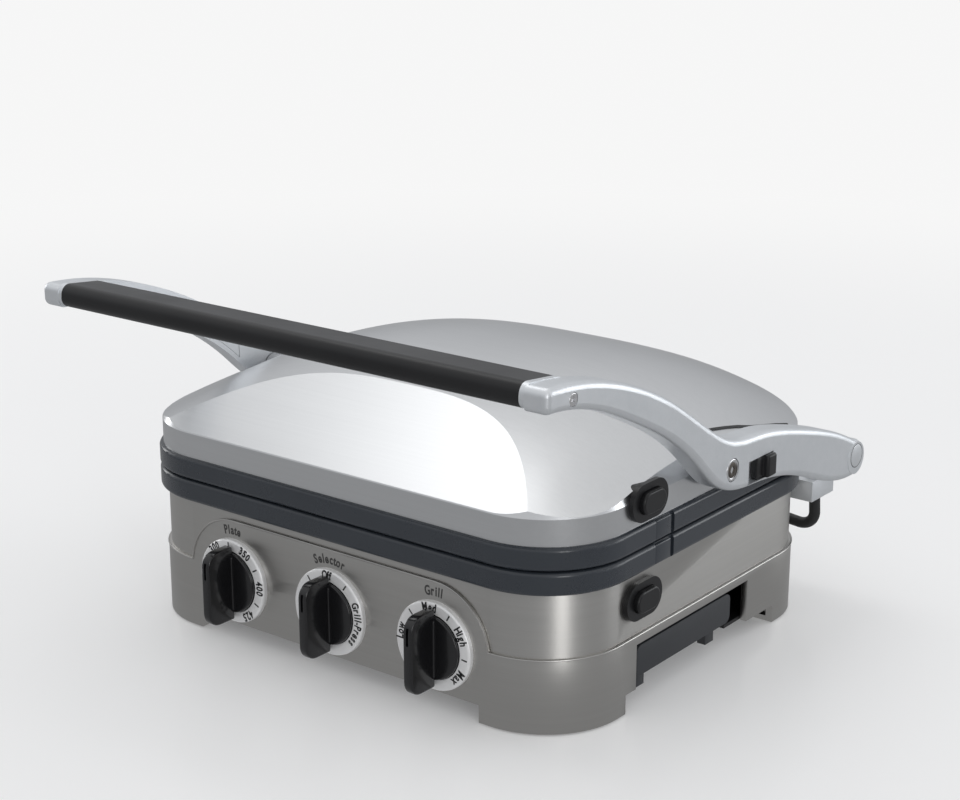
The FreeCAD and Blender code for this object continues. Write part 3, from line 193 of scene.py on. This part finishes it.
# fine parallel lines: stretch is how often they repeat along x, y and z
brushLines, into, outOf = effect(
    "brushLines", [("Stretch", "NodeSocketVector", (4, 4, 900)), ("Depth", "NodeSocketFloat", 1.0)],
    [("Lines", "NodeSocketFloat"), ("Height", "NodeSocketFloat")])
coords = addNode(brushLines, "ShaderNodeTexCoord")
stretch = addNode(brushLines, "ShaderNodeVectorMath", operation="MULTIPLY")
link(brushLines, coords.outputs["Object"], stretch.inputs[0])
link(brushLines, into.outputs["Stretch"], stretch.inputs[1])
coarse = addNode(brushLines, "ShaderNodeTexNoise")
coarse.inputs["Scale"].default_value = 1.0
coarse.inputs["Detail"].default_value = 3.0
link(brushLines, stretch.outputs[0], coarse.inputs["Vector"])
fine = addNode(brushLines, "ShaderNodeTexNoise")
fine.inputs["Scale"].default_value = 3.1
fine.inputs["Detail"].default_value = 2.0
link(brushLines, stretch.outputs[0], fine.inputs["Vector"])
both = sum2(brushLines, "ADD", sum2(brushLines, "MULTIPLY", coarse.outputs[0], 0.6),
            sum2(brushLines, "MULTIPLY", fine.outputs[0], 0.4))
link(brushLines, both, outOf.inputs["Lines"])
link(brushLines, sum2(brushLines, "MULTIPLY", both, into.outputs["Depth"]), outOf.inputs["Height"])

# slow cloudy variation, as handling and plating leave on a surface
handling, into, outOf = effect(
    "handling", [("Size", "NodeSocketFloat", 14.0), ("Low", "NodeSocketFloat", 0.0),
                 ("High", "NodeSocketFloat", 1.0)],
    [("Film", "NodeSocketFloat")])
coords = addNode(handling, "ShaderNodeTexCoord")
cloud = addNode(handling, "ShaderNodeTexNoise")
cloud.inputs["Detail"].default_value = 4.0
cloud.inputs["Roughness"].default_value = 0.6
link(handling, coords.outputs["Object"], cloud.inputs["Vector"])
link(handling, into.outputs["Size"], cloud.inputs["Scale"])
link(handling, ranged(handling, cloud.outputs[0], 0.3, 0.7, into.outputs["Low"], into.outputs["High"]),
     outOf.inputs["Film"])

# small grains, as on moulded or cast skin
mouldGrain, into, outOf = effect(
    "mouldGrain", [("Size", "NodeSocketFloat", 2400.0), ("Depth", "NodeSocketFloat", 1.0)],
    [("Grain", "NodeSocketFloat"), ("Height", "NodeSocketFloat")])
coords = addNode(mouldGrain, "ShaderNodeTexCoord")
pits = addNode(mouldGrain, "ShaderNodeTexVoronoi")
pits.inputs["Randomness"].default_value = 1.0
link(mouldGrain, coords.outputs["Object"], pits.inputs["Vector"])
link(mouldGrain, into.outputs["Size"], pits.inputs["Scale"])
soft = addNode(mouldGrain, "ShaderNodeTexNoise")
soft.inputs["Detail"].default_value = 3.0
link(mouldGrain, coords.outputs["Object"], soft.inputs["Vector"])
link(mouldGrain, sum2(mouldGrain, "MULTIPLY", into.outputs["Size"], 0.4), soft.inputs["Scale"])
both = sum2(mouldGrain, "ADD", sum2(mouldGrain, "MULTIPLY", pits.outputs["Distance"], 0.5),
            sum2(mouldGrain, "MULTIPLY", soft.outputs[0], 0.5))
link(mouldGrain, both, outOf.inputs["Grain"])
link(mouldGrain, sum2(mouldGrain, "MULTIPLY", both, into.outputs["Depth"]), outOf.inputs["Height"])

# painted edge highlight: a mask along the edges, where the rounded normal leaves the flat one, broken up by
# noise; the finishes lighten their colour under it where light would catch the edges
edgeHighlight, into, outOf = effect(
    "edgeHighlight", [("Amount", "NodeSocketFloat", 0.5), ("Patches", "NodeSocketFloat", 60.0)],
    [("Mask", "NodeSocketFloat")])
bevel = addNode(edgeHighlight, "ShaderNodeBevel", samples=4)
bevel.inputs["Radius"].default_value = 0.0007
flat = addNode(edgeHighlight, "ShaderNodeNewGeometry")
across = addNode(edgeHighlight, "ShaderNodeVectorMath", operation="DOT_PRODUCT")
link(edgeHighlight, bevel.outputs[0], across.inputs[0])
link(edgeHighlight, flat.outputs["Normal"], across.inputs[1])
edge = ranged(edgeHighlight, across.outputs["Value"], 0.985, 0.86, 0.0, 1.0)
coords = addNode(edgeHighlight, "ShaderNodeTexCoord")
patches = addNode(edgeHighlight, "ShaderNodeTexNoise")
patches.inputs["Detail"].default_value = 5.0
link(edgeHighlight, coords.outputs["Object"], patches.inputs["Vector"])
link(edgeHighlight, into.outputs["Patches"], patches.inputs["Scale"])
broken = ranged(edgeHighlight, patches.outputs[0], 0.35, 0.65, 0.2, 1.0)
link(edgeHighlight, sum2(edgeHighlight, "MULTIPLY", sum2(edgeHighlight, "MULTIPLY", edge, broken),
                       into.outputs["Amount"]), outOf.inputs["Mask"])


def placeEffect(tree, group, **values):
    node = addNode(tree, "ShaderNodeGroup", node_tree=group)
    for label, value in values.items():
        node.inputs[label].default_value = value
    return node


def mixed(tree, factor, first, second):
    node = addNode(tree, "ShaderNodeMix", data_type="RGBA")
    link(tree, factor, node.inputs[0])
    for socket, value in ((node.inputs[6], first), (node.inputs[7], second)):
        if isinstance(value, tuple):
            socket.default_value = value + (1,)
        else:
            link(tree, value, socket)
    return node.outputs[2]


finishes = {}


def newFinish(name):
    material = bpy.data.materials.new(name)
    material.use_nodes = True
    finishes[name] = material
    tree = material.node_tree
    return tree, tree.nodes["Principled BSDF"]


def brushedMetal(name, dull, bright, rough, roughSpread, stretch, depth, film=14.0, coat=0.0, edgeLight=0.0,
                 metallic=1.0):
    tree, shader = newFinish(name)
    shader.inputs["Metallic"].default_value = metallic
    shader.inputs["Coat Weight"].default_value = coat
    shader.inputs["Coat Roughness"].default_value = 0.12
    lines = placeEffect(tree, brushLines, Stretch=stretch, Depth=1.0)
    cloud = placeEffect(tree, handling, Size=film, Low=-0.12, High=0.12)
    tone = sum2(tree, "ADD", lines.outputs["Lines"], cloud.outputs["Film"])
    colour = mixed(tree, ranged(tree, tone, 0.3, 0.7, 0.0, 1.0), dull, bright)
    # painted highlight: the colour is lightened towards a brighter tone along the edges under the edge mask
    if edgeLight:
        paintedEdgeLight = placeEffect(tree, edgeHighlight, Amount=edgeLight, Patches=55.0)
        colour = mixed(tree, paintedEdgeLight.outputs["Mask"], colour, tuple(min(1.0, v * 1.35) for v in bright))
    link(tree, colour, shader.inputs["Base Color"])
    link(tree, ranged(tree, tone, 0.25, 0.75, rough - roughSpread, rough + roughSpread),
         shader.inputs["Roughness"])
    bump = addNode(tree, "ShaderNodeBump")
    bump.inputs["Strength"].default_value = 1.0
    bump.inputs["Distance"].default_value = depth
    link(tree, lines.outputs["Height"], bump.inputs["Height"])
    link(tree, bump.outputs[0], shader.inputs["Normal"])


def mouldedPlastic(name, tone, lift, rough, roughSpread, grain, depth, coat=0.0, edgeLight=0.0, specular=0.5,
                   paintedEdgeLight=(0.25, 0.25, 0.26)):
    tree, shader = newFinish(name)
    shader.inputs["Metallic"].default_value = 0.0
    shader.inputs["Specular IOR Level"].default_value = specular
    shader.inputs["Coat Weight"].default_value = coat
    shader.inputs["Coat Roughness"].default_value = 0.08
    skin = placeEffect(tree, mouldGrain, Size=grain, Depth=1.0)
    cloud = placeEffect(tree, handling, Size=22.0, Low=0.0, High=1.0)
    spots = sum2(tree, "ADD", sum2(tree, "MULTIPLY", skin.outputs["Grain"], 0.4),
                 sum2(tree, "MULTIPLY", cloud.outputs["Film"], 0.6))
    colour = mixed(tree, spots, tone, lift)
    # painted highlight: the colour is lifted towards a lighter tone along the edges under the edge mask
    if edgeLight:
        edges = placeEffect(tree, edgeHighlight, Amount=edgeLight, Patches=70.0)
        colour = mixed(tree, edges.outputs["Mask"], colour, paintedEdgeLight)
    link(tree, colour, shader.inputs["Base Color"])
    link(tree, ranged(tree, spots, 0.2, 0.8, rough - roughSpread, rough + roughSpread),
         shader.inputs["Roughness"])
    bump = addNode(tree, "ShaderNodeBump")
    bump.inputs["Strength"].default_value = 1.0
    bump.inputs["Distance"].default_value = depth
    link(tree, skin.outputs["Height"], bump.inputs["Height"])
    link(tree, bump.outputs[0], shader.inputs["Normal"])


# the edge amounts and edge tones given below paint highlights along the edges of each finish
brushedMetal("satinNickel", (0.50, 0.49, 0.47), (0.53, 0.52, 0.50), 0.33, 0.02, (5, 5, 700), 0.0000006, 9.0)
brushedMetal("lidSteel", (0.71, 0.72, 0.73), (0.74, 0.75, 0.76), 0.30, 0.02, (4, 500, 500), 0.0000004, 7.0)
brushedMetal("armSilver", (0.74, 0.765, 0.79), (0.78, 0.80, 0.825), 0.42, 0.03, (200, 200, 200), 0.000001,
             14.0, coat=0.10, edgeLight=0.2, metallic=0.85)
brushedMetal("dialSatin", (0.86, 0.86, 0.86), (0.92, 0.92, 0.92), 0.36, 0.03, (60, 60, 60), 0.000001, 24.0,
             metallic=0.35)
brushedMetal("brightPlate", (0.78, 0.78, 0.79), (0.88, 0.88, 0.89), 0.10, 0.04, (90, 90, 90), 0.000002, 30.0)
brushedMetal("plainSteel", (0.42, 0.42, 0.43), (0.58, 0.58, 0.59), 0.32, 0.08, (40, 300, 300), 0.000006, 35.0,
             edgeLight=0.3)
brushedMetal("panSheet", (0.55, 0.55, 0.56), (0.74, 0.74, 0.75), 0.30, 0.09, (60, 260, 60), 0.000006, 26.0,
             edgeLight=0.2)
brushedMetal("heaterTube", (0.055, 0.048, 0.043), (0.17, 0.15, 0.13), 0.46, 0.10, (140, 140, 140), 0.00001,
             45.0, metallic=0.8)
mouldedPlastic("slateTrim", (0.024, 0.029, 0.037), (0.030, 0.036, 0.045), 0.28, 0.03, 2600.0, 0.000002,
               coat=0.2, edgeLight=0.12, paintedEdgeLight=(0.07, 0.08, 0.10))
mouldedPlastic("glossBlack", (0.005, 0.005, 0.006), (0.008, 0.008, 0.009), 0.22, 0.04, 1500.0, 0.000001,
               coat=0.3, edgeLight=0.2, paintedEdgeLight=(0.05, 0.05, 0.055))
mouldedPlastic("gripBlack", (0.007, 0.007, 0.008), (0.011, 0.011, 0.012), 0.34, 0.04, 3000.0, 0.000006,
               edgeLight=0.1, specular=0.4, paintedEdgeLight=(0.03, 0.03, 0.033))
mouldedPlastic("softRubber", (0.012, 0.012, 0.012), (0.028, 0.028, 0.028), 0.74, 0.08, 1800.0, 0.00003)
mouldedPlastic("innerMoulding", (0.50, 0.47, 0.41), (0.60, 0.57, 0.50), 0.52, 0.06, 1600.0, 0.00002, edgeLight=0.2,
               paintedEdgeLight=(0.7, 0.68, 0.62))
mouldedPlastic("cableSheath", (0.010, 0.010, 0.011), (0.020, 0.020, 0.021), 0.46, 0.07, 2600.0, 0.00002)
mouldedPlastic("trayMoulding", (0.020, 0.022, 0.026), (0.032, 0.035, 0.040), 0.44, 0.06, 2200.0, 0.00003,
               edgeLight=0.2, paintedEdgeLight=(0.09, 0.095, 0.105))
mouldedPlastic("castCoating", (0.014, 0.014, 0.015), (0.034, 0.034, 0.036), 0.46, 0.08, 1400.0, 0.00004,
               specular=0.6, edgeLight=0.25, paintedEdgeLight=(0.11, 0.11, 0.115))
mouldedPlastic("engraved", (0.035, 0.034, 0.033), (0.050, 0.049, 0.047), 0.45, 0.05, 2000.0, 0.000004)
# near-black for the dial print and seams; the same black also paints the shadow strip along each side of the
# lid
mouldedPlastic("darkPrintAndShade", (0.006, 0.006, 0.007), (0.010, 0.010, 0.011), 0.50, 0.05, 2000.0, 0.000002)

# every carried-over node takes the finish of its slot in the record
slotFinish = {"base_metal": "satinNickel", "lid_steel": "lidSteel", "arm_silver": "armSilver",
              "slate": "slateTrim", "black_plastic": "glossBlack", "grip_black": "gripBlack",
              "chrome": "brightPlate",
              "steel": "plainSteel", "plate_cast": "castCoating", "heater_alloy": "heaterTube",
              "pan_metal": "panSheet", "rubber": "softRubber", "inner_plastic": "innerMoulding",
              "cable": "cableSheath", "tray_plastic": "trayMoulding"}
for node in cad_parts.values():
    for place, old in enumerate(node.data.materials):
        node.data.materials[place] = finishes[slotFinish[old.name.split(".")[0]]]
print("finishes made:", len(finishes))

# tools for the pieces modelled below; frontY is where the front of the skirt lies
frontY = -0.11355
sharpEdge = 35


def selectOnly(*things):
    bpy.ops.object.select_all(action="DESELECT")
    for thing in things:
        thing.select_set(True)
    bpy.context.view_layer.objects.active = things[0]


def settle(piece):
    selectOnly(piece)
    bpy.ops.object.transform_apply(location=True, rotation=True, scale=True)
    return piece


def applyAll(piece):
    selectOnly(piece)
    for modifier in list(piece.modifiers):
        bpy.ops.object.modifier_apply(modifier=modifier.name)
    return piece


def block(sizes, place=(0, 0, 0)):
    bpy.ops.mesh.primitive_cube_add(size=1, location=place)
    piece = bpy.context.object
    piece.scale = sizes
    return settle(piece)


def drum(radius, depth, place, axis="y", sides=72):
    turn = {"x": (0, math.pi / 2, 0), "y": (math.pi / 2, 0, 0), "z": (0, 0, 0)}[axis]
    bpy.ops.mesh.primitive_cylinder_add(vertices=sides, radius=radius, depth=depth, location=place,
                                        rotation=turn)
    return settle(bpy.context.object)


def shapeEdges(piece, test, offset, segments, profile=0.5):
    selectOnly(piece)
    bpy.ops.object.mode_set(mode="EDIT")
    bpy.ops.mesh.select_mode(type="EDGE")
    bpy.ops.mesh.select_all(action="DESELECT")
    bpy.ops.object.mode_set(mode="OBJECT")
    points = piece.data.vertices
    for edge in piece.data.edges:
        edge.select = test(points[edge.vertices[0]].co, points[edge.vertices[1]].co)
    bpy.ops.object.mode_set(mode="EDIT")
    bpy.ops.mesh.bevel(offset=offset, segments=segments, profile=profile, affect="EDGES")
    bpy.ops.object.mode_set(mode="OBJECT")
    return piece


def softened(piece, width, segments=3, angle=sharpEdge):
    bevel = piece.modifiers.new("soft", "BEVEL")
    bevel.width, bevel.segments, bevel.limit_method = width, segments, "ANGLE"
    bevel.angle_limit = math.radians(angle)
    return applyAll(piece)


def cutAway(piece, *cutters):
    for cutter in cutters:
        cut = piece.modifiers.new("cut", "BOOLEAN")
        cut.operation, cut.solver, cut.object = "DIFFERENCE", "EXACT", cutter
        applyAll(piece)
        bpy.data.objects.remove(cutter)
    return piece


def joined(*pieces):
    selectOnly(*pieces)
    bpy.ops.object.join()
    return bpy.context.object


def finishPiece(piece, name, finish, body, slotName, *stands):
    piece.name = name
    selectOnly(piece)
    bpy.ops.object.shade_smooth_by_angle(angle=math.radians(sharpEdge))
    piece.data.materials.clear()
    piece.data.materials.append(finishes[finish])
    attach(piece, body)
    if stands:
        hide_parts(*stands)
    return piece


def copyPiece(piece, shift):
    selectOnly(piece)
    bpy.ops.object.duplicate(linked=False)
    twin = bpy.context.object
    twin.location = shift
    return settle(twin)


# control knobs: a disc with a tall arched fin, a slot near the top of its nose, and a low step under the fin
knobShape = {"radius": 0.0172, "back": 0.001, "face": 0.005, "edge": 0.0009, "sides": 96, "height": 0.0357,
             "apart": 0.070}
finShape = {"tip": 0.0224, "length": 0.0418, "thick": 0.0056, "sunk": 0.001, "arch": 0.0085, "archSteps": 10,
            "archBulge": 0.55, "edge": 0.0011, "edgeSteps": 4, "edgeAngle": 50}
finSlot = {"wide": 0.0015, "low": 0.0066, "high": 0.0160, "floor": 0.0190, "reach": 0.012}
finStep = {"wide": 0.0070, "rise": 0.0016, "lift": 0.0002, "short": 0.004, "edge": 0.0006}
disc = drum(knobShape["radius"], knobShape["face"] - knobShape["back"],
            (0, -(knobShape["face"] + knobShape["back"]) / 2, 0), sides=knobShape["sides"])
softened(disc, knobShape["edge"])
finRoot = knobShape["face"] - finShape["sunk"]
fin = block((finShape["thick"], finShape["tip"] - finRoot, finShape["length"]),
            (0, -(finShape["tip"] + finRoot) / 2, 0))
noseY = -finShape["tip"] / 2
shapeEdges(fin, lambda start, end: max(start.y, end.y) < noseY and abs(start.x - end.x) > finShape["sunk"],
           finShape["arch"], finShape["archSteps"], finShape["archBulge"])
softened(fin, finShape["edge"], finShape["edgeSteps"], finShape["edgeAngle"])
cutAway(fin, block((finSlot["wide"], finSlot["reach"], finSlot["high"] - finSlot["low"]),
                   (0, -finSlot["floor"] - finSlot["reach"] / 2, (finSlot["high"] + finSlot["low"]) / 2)))
step = block((finStep["wide"], finStep["rise"], 2 * knobShape["radius"] - finStep["short"]),
             (0, -knobShape["face"] - finStep["lift"], 0))
softened(step, finStep["edge"])
knob = joined(fin, disc, step)
for place, side, body in ((-1, "left", "left_control"), (0, "middle", "selector"),
                          (1, "right", "right_control")):
    twin = copyPiece(knob, (place * knobShape["apart"], frontY, knobShape["height"]))
    finishPiece(twin, side + "KnobShell", "glossBlack", body, "black_plastic", side + "_knob")
bpy.data.objects.remove(knob)
print("knobs made")

# dial markings on the rings and the words over each dial, as thin raised print
printShape = {"ringY": frontY - 0.00302, "panelY": frontY - 0.00004, "thick": 0.00005, "squeeze": 0.74,
              "bold": 0.00021, "curveSteps": 3, "midHeight": 0.3}
numerals = {"height": 0.0063, "radius": 0.0188}
titles = {"height": 0.0070, "radius": 0.0262, "lean": -2}
ticks = {"length": 0.0034, "wide": 0.0008}
letterWidth = {"narrow": 0.34, "plain": 0.60, "wide": 0.86}
narrowLetters, wideLetters = "iltfjI1-", "mwMW"


def letter(sign, height, x, y, angle, radius):
    """One letter standing outward on an arc, angle in radians clockwise from the top."""
    place = (x + radius * math.sin(angle), y, knobShape["height"] + radius * math.cos(angle))
    bpy.ops.object.text_add(location=place)
    drawn = bpy.context.object
    drawn.data.body = sign
    drawn.data.align_x = "CENTER"
    drawn.data.size = height
    drawn.data.extrude = printShape["thick"]
    drawn.data.offset = printShape["bold"]
    drawn.data.resolution_u = printShape["curveSteps"]
    selectOnly(drawn)
    bpy.ops.object.convert(target="MESH")
    drawn = bpy.context.object
    turned = Matrix.Rotation(angle, 4, "Y") @ Matrix.Rotation(math.pi / 2, 4, "X")
    drawn.matrix_world = Matrix.Translation(place) @ turned @ Matrix.Diagonal((printShape["squeeze"], 1, 1, 1))
    return settle(drawn)


def arcWord(word, style, x, y, degrees):
    """The letters of a word set along an arc, centred at so many degrees from the top."""
    height, radius = style["height"], style["radius"]
    kinds = ["narrow" if s in narrowLetters else "wide" if s in wideLetters else "plain" for s in word]
    advance = [height * printShape["squeeze"] * letterWidth[kind] for kind in kinds]
    along = -sum(advance) / 2
    letters = []
    for sign, width in zip(word, advance):
        angle = math.radians(degrees) + (along + width / 2) / (radius + height * printShape["midHeight"])
        letters.append(letter(sign, height, x, y, angle, radius))
        along += width
    return letters


dialWords = {-1: (("300", -36), ("350", 30), ("400", 88), ("425", 146)),
             0: (("Off", 0), ("Grill-Press", 98)),
             1: (("Low", -80), ("Med", -5), ("High", 62), ("Max", 128))}
dialTicks = {-1: (-4, 60, 117), 0: (-38, 36), 1: (-42, 30, 96)}
marks = []
for place, words in dialWords.items():
    middle = place * knobShape["apart"]
    for word, degrees in words:
        marks += arcWord(word, numerals, middle, printShape["ringY"], degrees)
    for degrees in dialTicks[place]:
        tick = block((ticks["wide"], 2 * printShape["thick"], ticks["length"]),
                     (0, 0, numerals["radius"] + ticks["length"] / 2))
        centre = Matrix.Translation((middle, printShape["ringY"], knobShape["height"]))
        tick.matrix_world = centre @ Matrix.Rotation(math.radians(degrees), 4, "Y")
        marks.append(settle(tick))
finishPiece(joined(*marks), "dialMarks", "darkPrintAndShade", "base", "grip_black")
marks = []
for place, title in ((-1, "Plate"), (0, "Selector"), (1, "Grill")):
    marks += arcWord(title, titles, place * knobShape["apart"], printShape["panelY"], titles["lean"])
finishPiece(joined(*marks), "dialTitles", "engraved", "base", "grip_black")
print("dial print made")

# rolled beads along the top of the skirt and round the control panel
beadShape = {"halfX": 0.1492, "depth": 0.252, "corner": 0.046, "top": 0.0402, "panelHalf": 0.1028,
             "panelTop": 0.0695, "panelCorner": 0.0328, "radius": 0.00055, "roundSteps": 2, "cornerSteps": 14,
             "nearMiddle": 0.01}


def beadFrom(outline):
    selectOnly(outline)
    bpy.ops.object.convert(target="CURVE")
    outline = bpy.context.object
    outline.data.bevel_depth = beadShape["radius"]
    outline.data.bevel_resolution = beadShape["roundSteps"]
    outline.data.use_fill_caps = True
    bpy.ops.object.convert(target="MESH")
    return bpy.context.object


def roundedLoop(halfWide, halfHigh, corner):
    bpy.ops.mesh.primitive_plane_add(size=1)
    loop = bpy.context.object
    loop.scale = (2 * halfWide, 2 * halfHigh, 1)
    settle(loop)
    bpy.ops.object.mode_set(mode="EDIT")
    bpy.ops.mesh.select_all(action="SELECT")
    bpy.ops.mesh.bevel(offset=corner, segments=beadShape["cornerSteps"], affect="VERTICES")
    bpy.ops.mesh.select_all(action="SELECT")
    bpy.ops.mesh.delete(type="ONLY_FACE")
    bpy.ops.object.mode_set(mode="OBJECT")
    return loop


def cutLoop(loop, plane, normal):
    """Cuts the wire at a plane and drops what is on the side the normal points to."""
    selectOnly(loop)
    bpy.ops.object.mode_set(mode="EDIT")
    bpy.ops.mesh.select_all(action="SELECT")
    bpy.ops.mesh.bisect(plane_co=plane, plane_no=normal, clear_outer=True)
    bpy.ops.object.mode_set(mode="OBJECT")


panelLoop = roundedLoop(beadShape["panelHalf"], beadShape["panelTop"] / 2, beadShape["panelCorner"])
cutLoop(panelLoop, (0, beadShape["top"] - beadShape["panelTop"] / 2, 0), (0, -1, 0))
panelLoop.rotation_euler = (math.pi / 2, 0, 0)
panelLoop.location = (0, frontY, beadShape["panelTop"] / 2)
beads = [beadFrom(settle(panelLoop))]
for side in (-1, 1):
    skirtLoop = roundedLoop(beadShape["halfX"], beadShape["depth"] / 2, beadShape["corner"])
    cutLoop(skirtLoop, (0, 0, 0), (-side, 0, 0))
    skirtLoop.location = (0, frontY + beadShape["depth"] / 2, beadShape["top"])
    settle(skirtLoop)
    for point in skirtLoop.data.vertices:
        if abs(point.co.x) < beadShape["nearMiddle"] and point.co.y < 0:
            point.co.x = side * beadShape["panelHalf"]
    beads.append(beadFrom(skirtLoop))
finishPiece(joined(*beads), "rolledBead", "satinNickel", "base", "base_metal")
print("beads made")

# stops that fill the notch in the two trims on the right side
stopShape = {"x": 0.1503, "thick": 0.0026, "front": 0.0729, "rear": 0.0872, "edge": 0.0008}
for name, low, high, body in (("lowerStop", 0.0752, 0.0858, "base"), ("upperStop", 0.0881, 0.0985, "lid")):
    stop = block((stopShape["thick"], stopShape["rear"] - stopShape["front"], high - low),
                 (stopShape["x"], frontY + (stopShape["front"] + stopShape["rear"]) / 2, (low + high) / 2))
    finishPiece(softened(stop, stopShape["edge"]), name, "slateTrim", body, "slate")

# screws: a hexagon socket in a bright ring at each pivot, a cross recess at each end of the grip
pivotScrew = {"head": 0.0022, "edge": 0.0005, "ringInside": 0.0046, "ringDeep": 0.0006, "socket": 0.0041,
              "socketThick": 0.0016, "socketMiddle": 0.0009, "socketEdge": 0.0004, "hexagon": 0.0022,
              "hexDeep": 0.0013, "shank": 0.0029, "shankLong": 0.011, "shankMiddle": 0.0073, "shankSides": 24}
armScrew = {"head": 0.0024, "edge": 0.0004, "crossLong": 0.0036, "crossWide": 0.0009, "crossDeep": 0.0008}


def discPlace(node):
    """Radius, y, z and outer x of a disc that faces sideways."""
    low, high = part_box(node)
    return (high[2] - low[2]) / 2, (high[1] + low[1]) / 2, (high[2] + low[2]) / 2, high[0]


radius, y, z, outerX = discPlace("right_pivot_screw")
for side, name in ((1, "right"), (-1, "left")):
    face = side * outerX
    head = drum(radius, pivotScrew["head"], (face - side * pivotScrew["head"] / 2, y, z), "x")
    softened(head, pivotScrew["edge"])
    cutAway(head, drum(pivotScrew["ringInside"], 2 * pivotScrew["ringDeep"], (face, y, z), "x"))
    socket = drum(pivotScrew["socket"], pivotScrew["socketThick"],
                  (face - side * pivotScrew["socketMiddle"], y, z), "x")
    softened(socket, pivotScrew["socketEdge"])
    cutAway(socket, drum(pivotScrew["hexagon"], 2 * pivotScrew["hexDeep"], (face, y, z), "x", 6))
    shank = drum(pivotScrew["shank"], pivotScrew["shankLong"], (face - side * pivotScrew["shankMiddle"], y, z),
                 "x", pivotScrew["shankSides"])
    finishPiece(socket, name + "PivotSocket", "heaterTube", "handle", "chrome")
    finishPiece(joined(head, shank), name + "PivotHead", "brightPlate", "handle", "chrome",
                name + "_pivot_screw")
radius, y, z, outerX = discPlace("arm_screws")
heads = []
for side in (1, -1):
    face = side * outerX
    head = drum(radius, armScrew["head"], (face - side * armScrew["head"] / 2, y, z), "x")
    softened(head, armScrew["edge"])
    for long, high in ((armScrew["crossLong"], armScrew["crossWide"]),
                       (armScrew["crossWide"], armScrew["crossLong"])):
        cutAway(head, block((2 * armScrew["crossDeep"], long, high), (face, y, z)))
    heads.append(head)
finishPiece(joined(*heads), "gripScrewHeads", "brightPlate", "handle", "chrome", "arm_screws")
print("screws made")

# a round cap let into the tail of each arm, with a dark seam round it
capShape = {"radius": 0.0066, "fromTail": 0.0102, "reach": 0.006, "proud": 0.0003, "thick": 0.0014,
            "edge": 0.0003, "seam": 0.0003, "seamOut": 0.0001, "seamSteps": 64, "seamSides": 10}
for side, name in ((1, "right"), (-1, "left")):
    low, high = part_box(name + "_arm")
    face = high[0] if side > 0 else low[0]
    tailY = high[1] - capShape["fromTail"]
    heights = [v.co.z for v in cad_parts[name + "_arm"].data.vertices
               if abs(v.co.y - tailY) < capShape["reach"]]
    tailZ = (min(heights) + max(heights)) / 2
    cap = drum(capShape["radius"], capShape["thick"],
               (face + side * (capShape["proud"] - capShape["thick"] / 2), tailY, tailZ), "x")
    finishPiece(softened(cap, capShape["edge"]), name + "TailCap", "armSilver", "handle", "arm_silver")
    bpy.ops.mesh.primitive_torus_add(
        major_radius=capShape["radius"] + capShape["seamOut"], minor_radius=capShape["seam"],
        major_segments=capShape["seamSteps"], minor_segments=capShape["seamSides"],
        location=(face, tailY, tailZ), rotation=(0, math.pi / 2, 0))
    finishPiece(settle(bpy.context.object), name + "TailSeam", "darkPrintAndShade", "handle", "grip_black")

# a dark strip of painted shadow along each side of the lid, above the tail of the arm, where the gap between
# lid and arm falls in shade: y from the front of the skirt, and z
shadeStripPath = ((0.134, 0.1262), (0.145, 0.1253), (0.155, 0.1240), (0.166, 0.1222), (0.176, 0.1200),
            (0.188, 0.1178), (0.200, 0.1155), (0.212, 0.1128))
shadeStripShape = {"radius": 0.0010, "roundSteps": 2, "outside": 0.4}
for side, name in ((1, "right"), (-1, "left")):
    spots = []
    for y, z in shadeStripPath:
        start = (side * shadeStripShape["outside"], frontY + y, z)
        hit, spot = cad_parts["lid_cover"].ray_cast(start, (-side, 0, 0))[:2]
        if hit:
            spots.append(spot)
    line = bpy.data.curves.new(name + "LidShadeStrip", "CURVE")
    line.dimensions = "3D"
    thread = line.splines.new("POLY")
    thread.points.add(len(spots) - 1)
    for point, spot in zip(thread.points, spots):
        point.co = (*spot, 1)
    line.bevel_depth, line.bevel_resolution = shadeStripShape["radius"], shadeStripShape["roundSteps"]
    line.use_fill_caps = True
    shadeStrip = bpy.data.objects.new(name + "LidShadeStrip", line)
    bpy.context.collection.objects.link(shadeStrip)
    selectOnly(shadeStrip)
    bpy.ops.object.convert(target="MESH")
    finishPiece(bpy.context.object, name + "LidShadeStrip", "darkPrintAndShade", "lid", "grip_black")

# darker plastic for the release buttons and their guides, and a bright satin for the dial rings
ownFinish = {"upper_release_button": "gripBlack", "upper_release_guide": "gripBlack",
             "lower_release_button": "gripBlack", "lower_release_guide": "gripBlack",
             "left_dial_ring": "dialSatin", "middle_dial_ring": "dialSatin", "right_dial_ring": "dialSatin"}
for node, finish in ownFinish.items():
    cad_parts[node].data.materials[0] = finishes[finish]

# copies of CAD skins with their sharp edges eased, as pressed and moulded edges are
easing = {"merge": 0.00001, "flat": math.radians(0.4), "steps": 2, "sharp": 40}


def easedCopy(node, name, width, body, slotName, finish):
    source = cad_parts[node]
    piece = source.copy()
    piece.data = source.data.copy()
    bpy.context.collection.objects.link(piece)
    for key in [key for key in piece.keys() if key.startswith("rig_")]:
        del piece[key]
    selectOnly(piece)
    bpy.ops.mesh.customdata_custom_splitnormals_clear()
    bpy.ops.object.mode_set(mode="EDIT")
    bpy.ops.mesh.select_all(action="SELECT")
    bpy.ops.mesh.remove_doubles(threshold=easing["merge"])
    bpy.ops.mesh.dissolve_limited(angle_limit=easing["flat"])
    bpy.ops.object.mode_set(mode="OBJECT")
    softened(piece, width, easing["steps"], easing["sharp"])
    return finishPiece(piece, name, finish, body, slotName, node)


easedCopy("base_housing", "housingSkin", 0.0004, "base", "base_metal", "satinNickel")
easedCopy("drip_tray", "trayShell", 0.0006, "tray", "tray_plastic", "trayMoulding")
easedCopy("hinge_release_lever", "leverShell", 0.0010, "lever", "grip_black", "gripBlack")
for side in ("left", "right"):
    easedCopy(side + "_hinge_bracket", side + "BracketShell", 0.0007, "base", "arm_silver", "armSilver")
print("edges eased")
